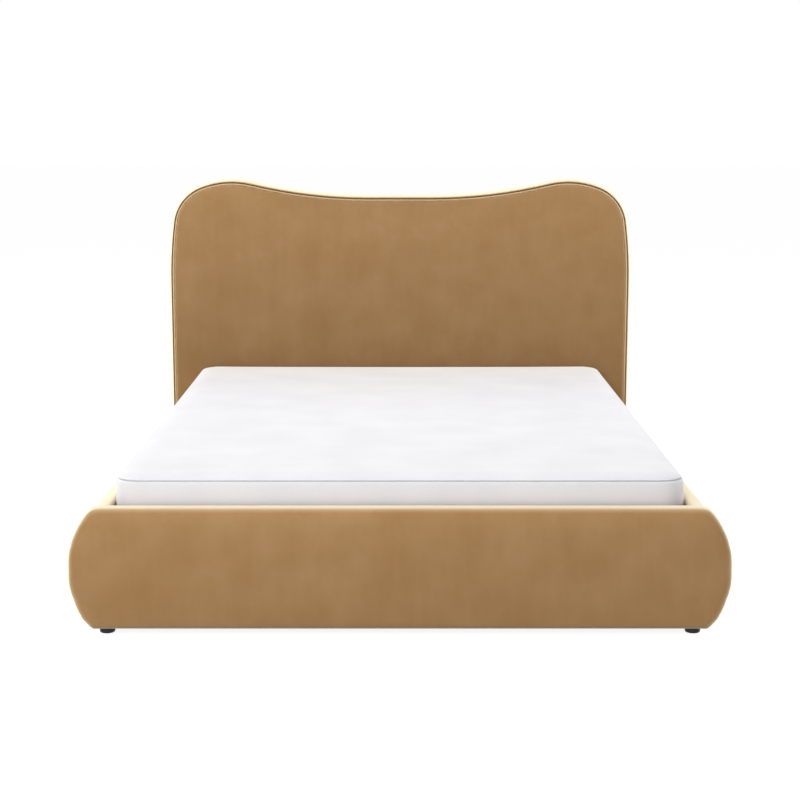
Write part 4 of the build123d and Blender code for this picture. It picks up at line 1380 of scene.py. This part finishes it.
studio = {
    "floorSize": 90.0,
    "floorTone": 0.8,  # as the object's own light sees it
    "shadowTone": 0.42,  # and as the camera does, under the floor's own glow
    "floorGlow": 0.85,
    "ambient": 0.33,
}
white = (1.0, 1.0, 1.0, 1.0)


def seenDirectly(tree):
    # 1 for rays from the camera and for what shows in gloss or through glass
    path = tree.nodes.new("ShaderNodeLightPath")
    share = path.outputs["Is Camera Ray"]
    for name in ("Is Glossy Ray", "Is Transmission Ray"):
        rays = {0: share, 1: path.outputs[name]}
        share = addNode(tree, "ShaderNodeMath", rays, operation="MAXIMUM").outputs[0]
    return share


def studioFloor():
    material = bpy.data.materials.new("studioFloor")
    material.use_nodes = True
    tree = material.node_tree
    tree.nodes.clear()
    output = tree.nodes.new("ShaderNodeOutputMaterial")
    plain = addNode(tree, "ShaderNodeBsdfDiffuse", {"Color": (studio["floorTone"],) * 3 + (1,)})
    catcher = addNode(tree, "ShaderNodeBsdfDiffuse", {"Color": (studio["shadowTone"],) * 3 + (1,)})
    glow = addNode(tree, "ShaderNodeEmission", {"Color": white, "Strength": studio["floorGlow"]})
    shown = addNode(tree, "ShaderNodeAddShader", {0: catcher.outputs[0], 1: glow.outputs[0]})
    inputs = {0: seenDirectly(tree), 1: plain.outputs[0], 2: shown.outputs[0]}
    mixed = addNode(tree, "ShaderNodeMixShader", inputs)
    tree.links.new(mixed.outputs[0], output.inputs["Surface"])
    return material


deselectAll()
bpy.ops.mesh.primitive_plane_add(size=studio["floorSize"], location=(0.0, 0.0, 0.0))
floor = lastAdded("studioFloor")
floor.data.materials.append(studioFloor())

world = bpy.data.worlds.new("studioWorld")
bpy.context.scene.world = world
world.use_nodes = True
worldTree = world.node_tree
worldTree.nodes.clear()
worldOutput = worldTree.nodes.new("ShaderNodeOutputWorld")
ambient = addNode(worldTree, "ShaderNodeBackground", {"Color": white, "Strength": studio["ambient"]})
backdrop = addNode(worldTree, "ShaderNodeBackground", {"Color": white, "Strength": 1.0})
worldInputs = {0: seenDirectly(worldTree), 1: ambient.outputs[0], 2: backdrop.outputs[0]}
worldMix = addNode(worldTree, "ShaderNodeMixShader", worldInputs)
worldTree.links.new(worldMix.outputs[0], worldOutput.inputs["Surface"])

lamps = {
    "topLamp": {"place": (-0.2, -0.3, 4.2), "aim": (0.0, -0.2, 0.3), "size": 4.0, "power": 74.0},
    "frontLamp": {"place": (-2.6, -5.2, 3.2), "aim": (0.0, 0.0, 0.4), "size": 3.0, "power": 70.0},
    "lowLamp": {"place": (-1.5, -6.0, 1.4), "aim": (0.0, -0.5, 0.4), "size": 3.0, "power": 98.0},
    "backLamp": {"place": (0.0, 3.6, 3.0), "aim": (0.0, 0.4, 0.9), "size": 3.0, "power": 46.0},
    "leftLamp": {"place": (-3.5, 0.9, 1.1), "aim": (0.0, 0.9, 0.5), "size": 2.5, "power": 62.0},
    "rightLamp": {"place": (3.5, 0.9, 1.1), "aim": (0.0, 0.9, 0.5), "size": 2.5, "power": 66.0},
}
for name, lamp in lamps.items():
    lampData = bpy.data.lights.new(name, "AREA")
    lampData.size = lamp["size"]
    lampData.energy = lamp["power"]
    lampObject = bpy.data.objects.new(name, lampData)
    lampObject.location = lamp["place"]
    direction = Vector(lamp["aim"]) - Vector(lamp["place"])
    lampObject.rotation_euler = direction.to_track_quat("-Z", "Y").to_euler()
    bpy.context.scene.collection.objects.link(lampObject)

bpy.context.scene.view_settings.view_transform = "Standard"

print("stage 6: camera, floor and lamps are set")
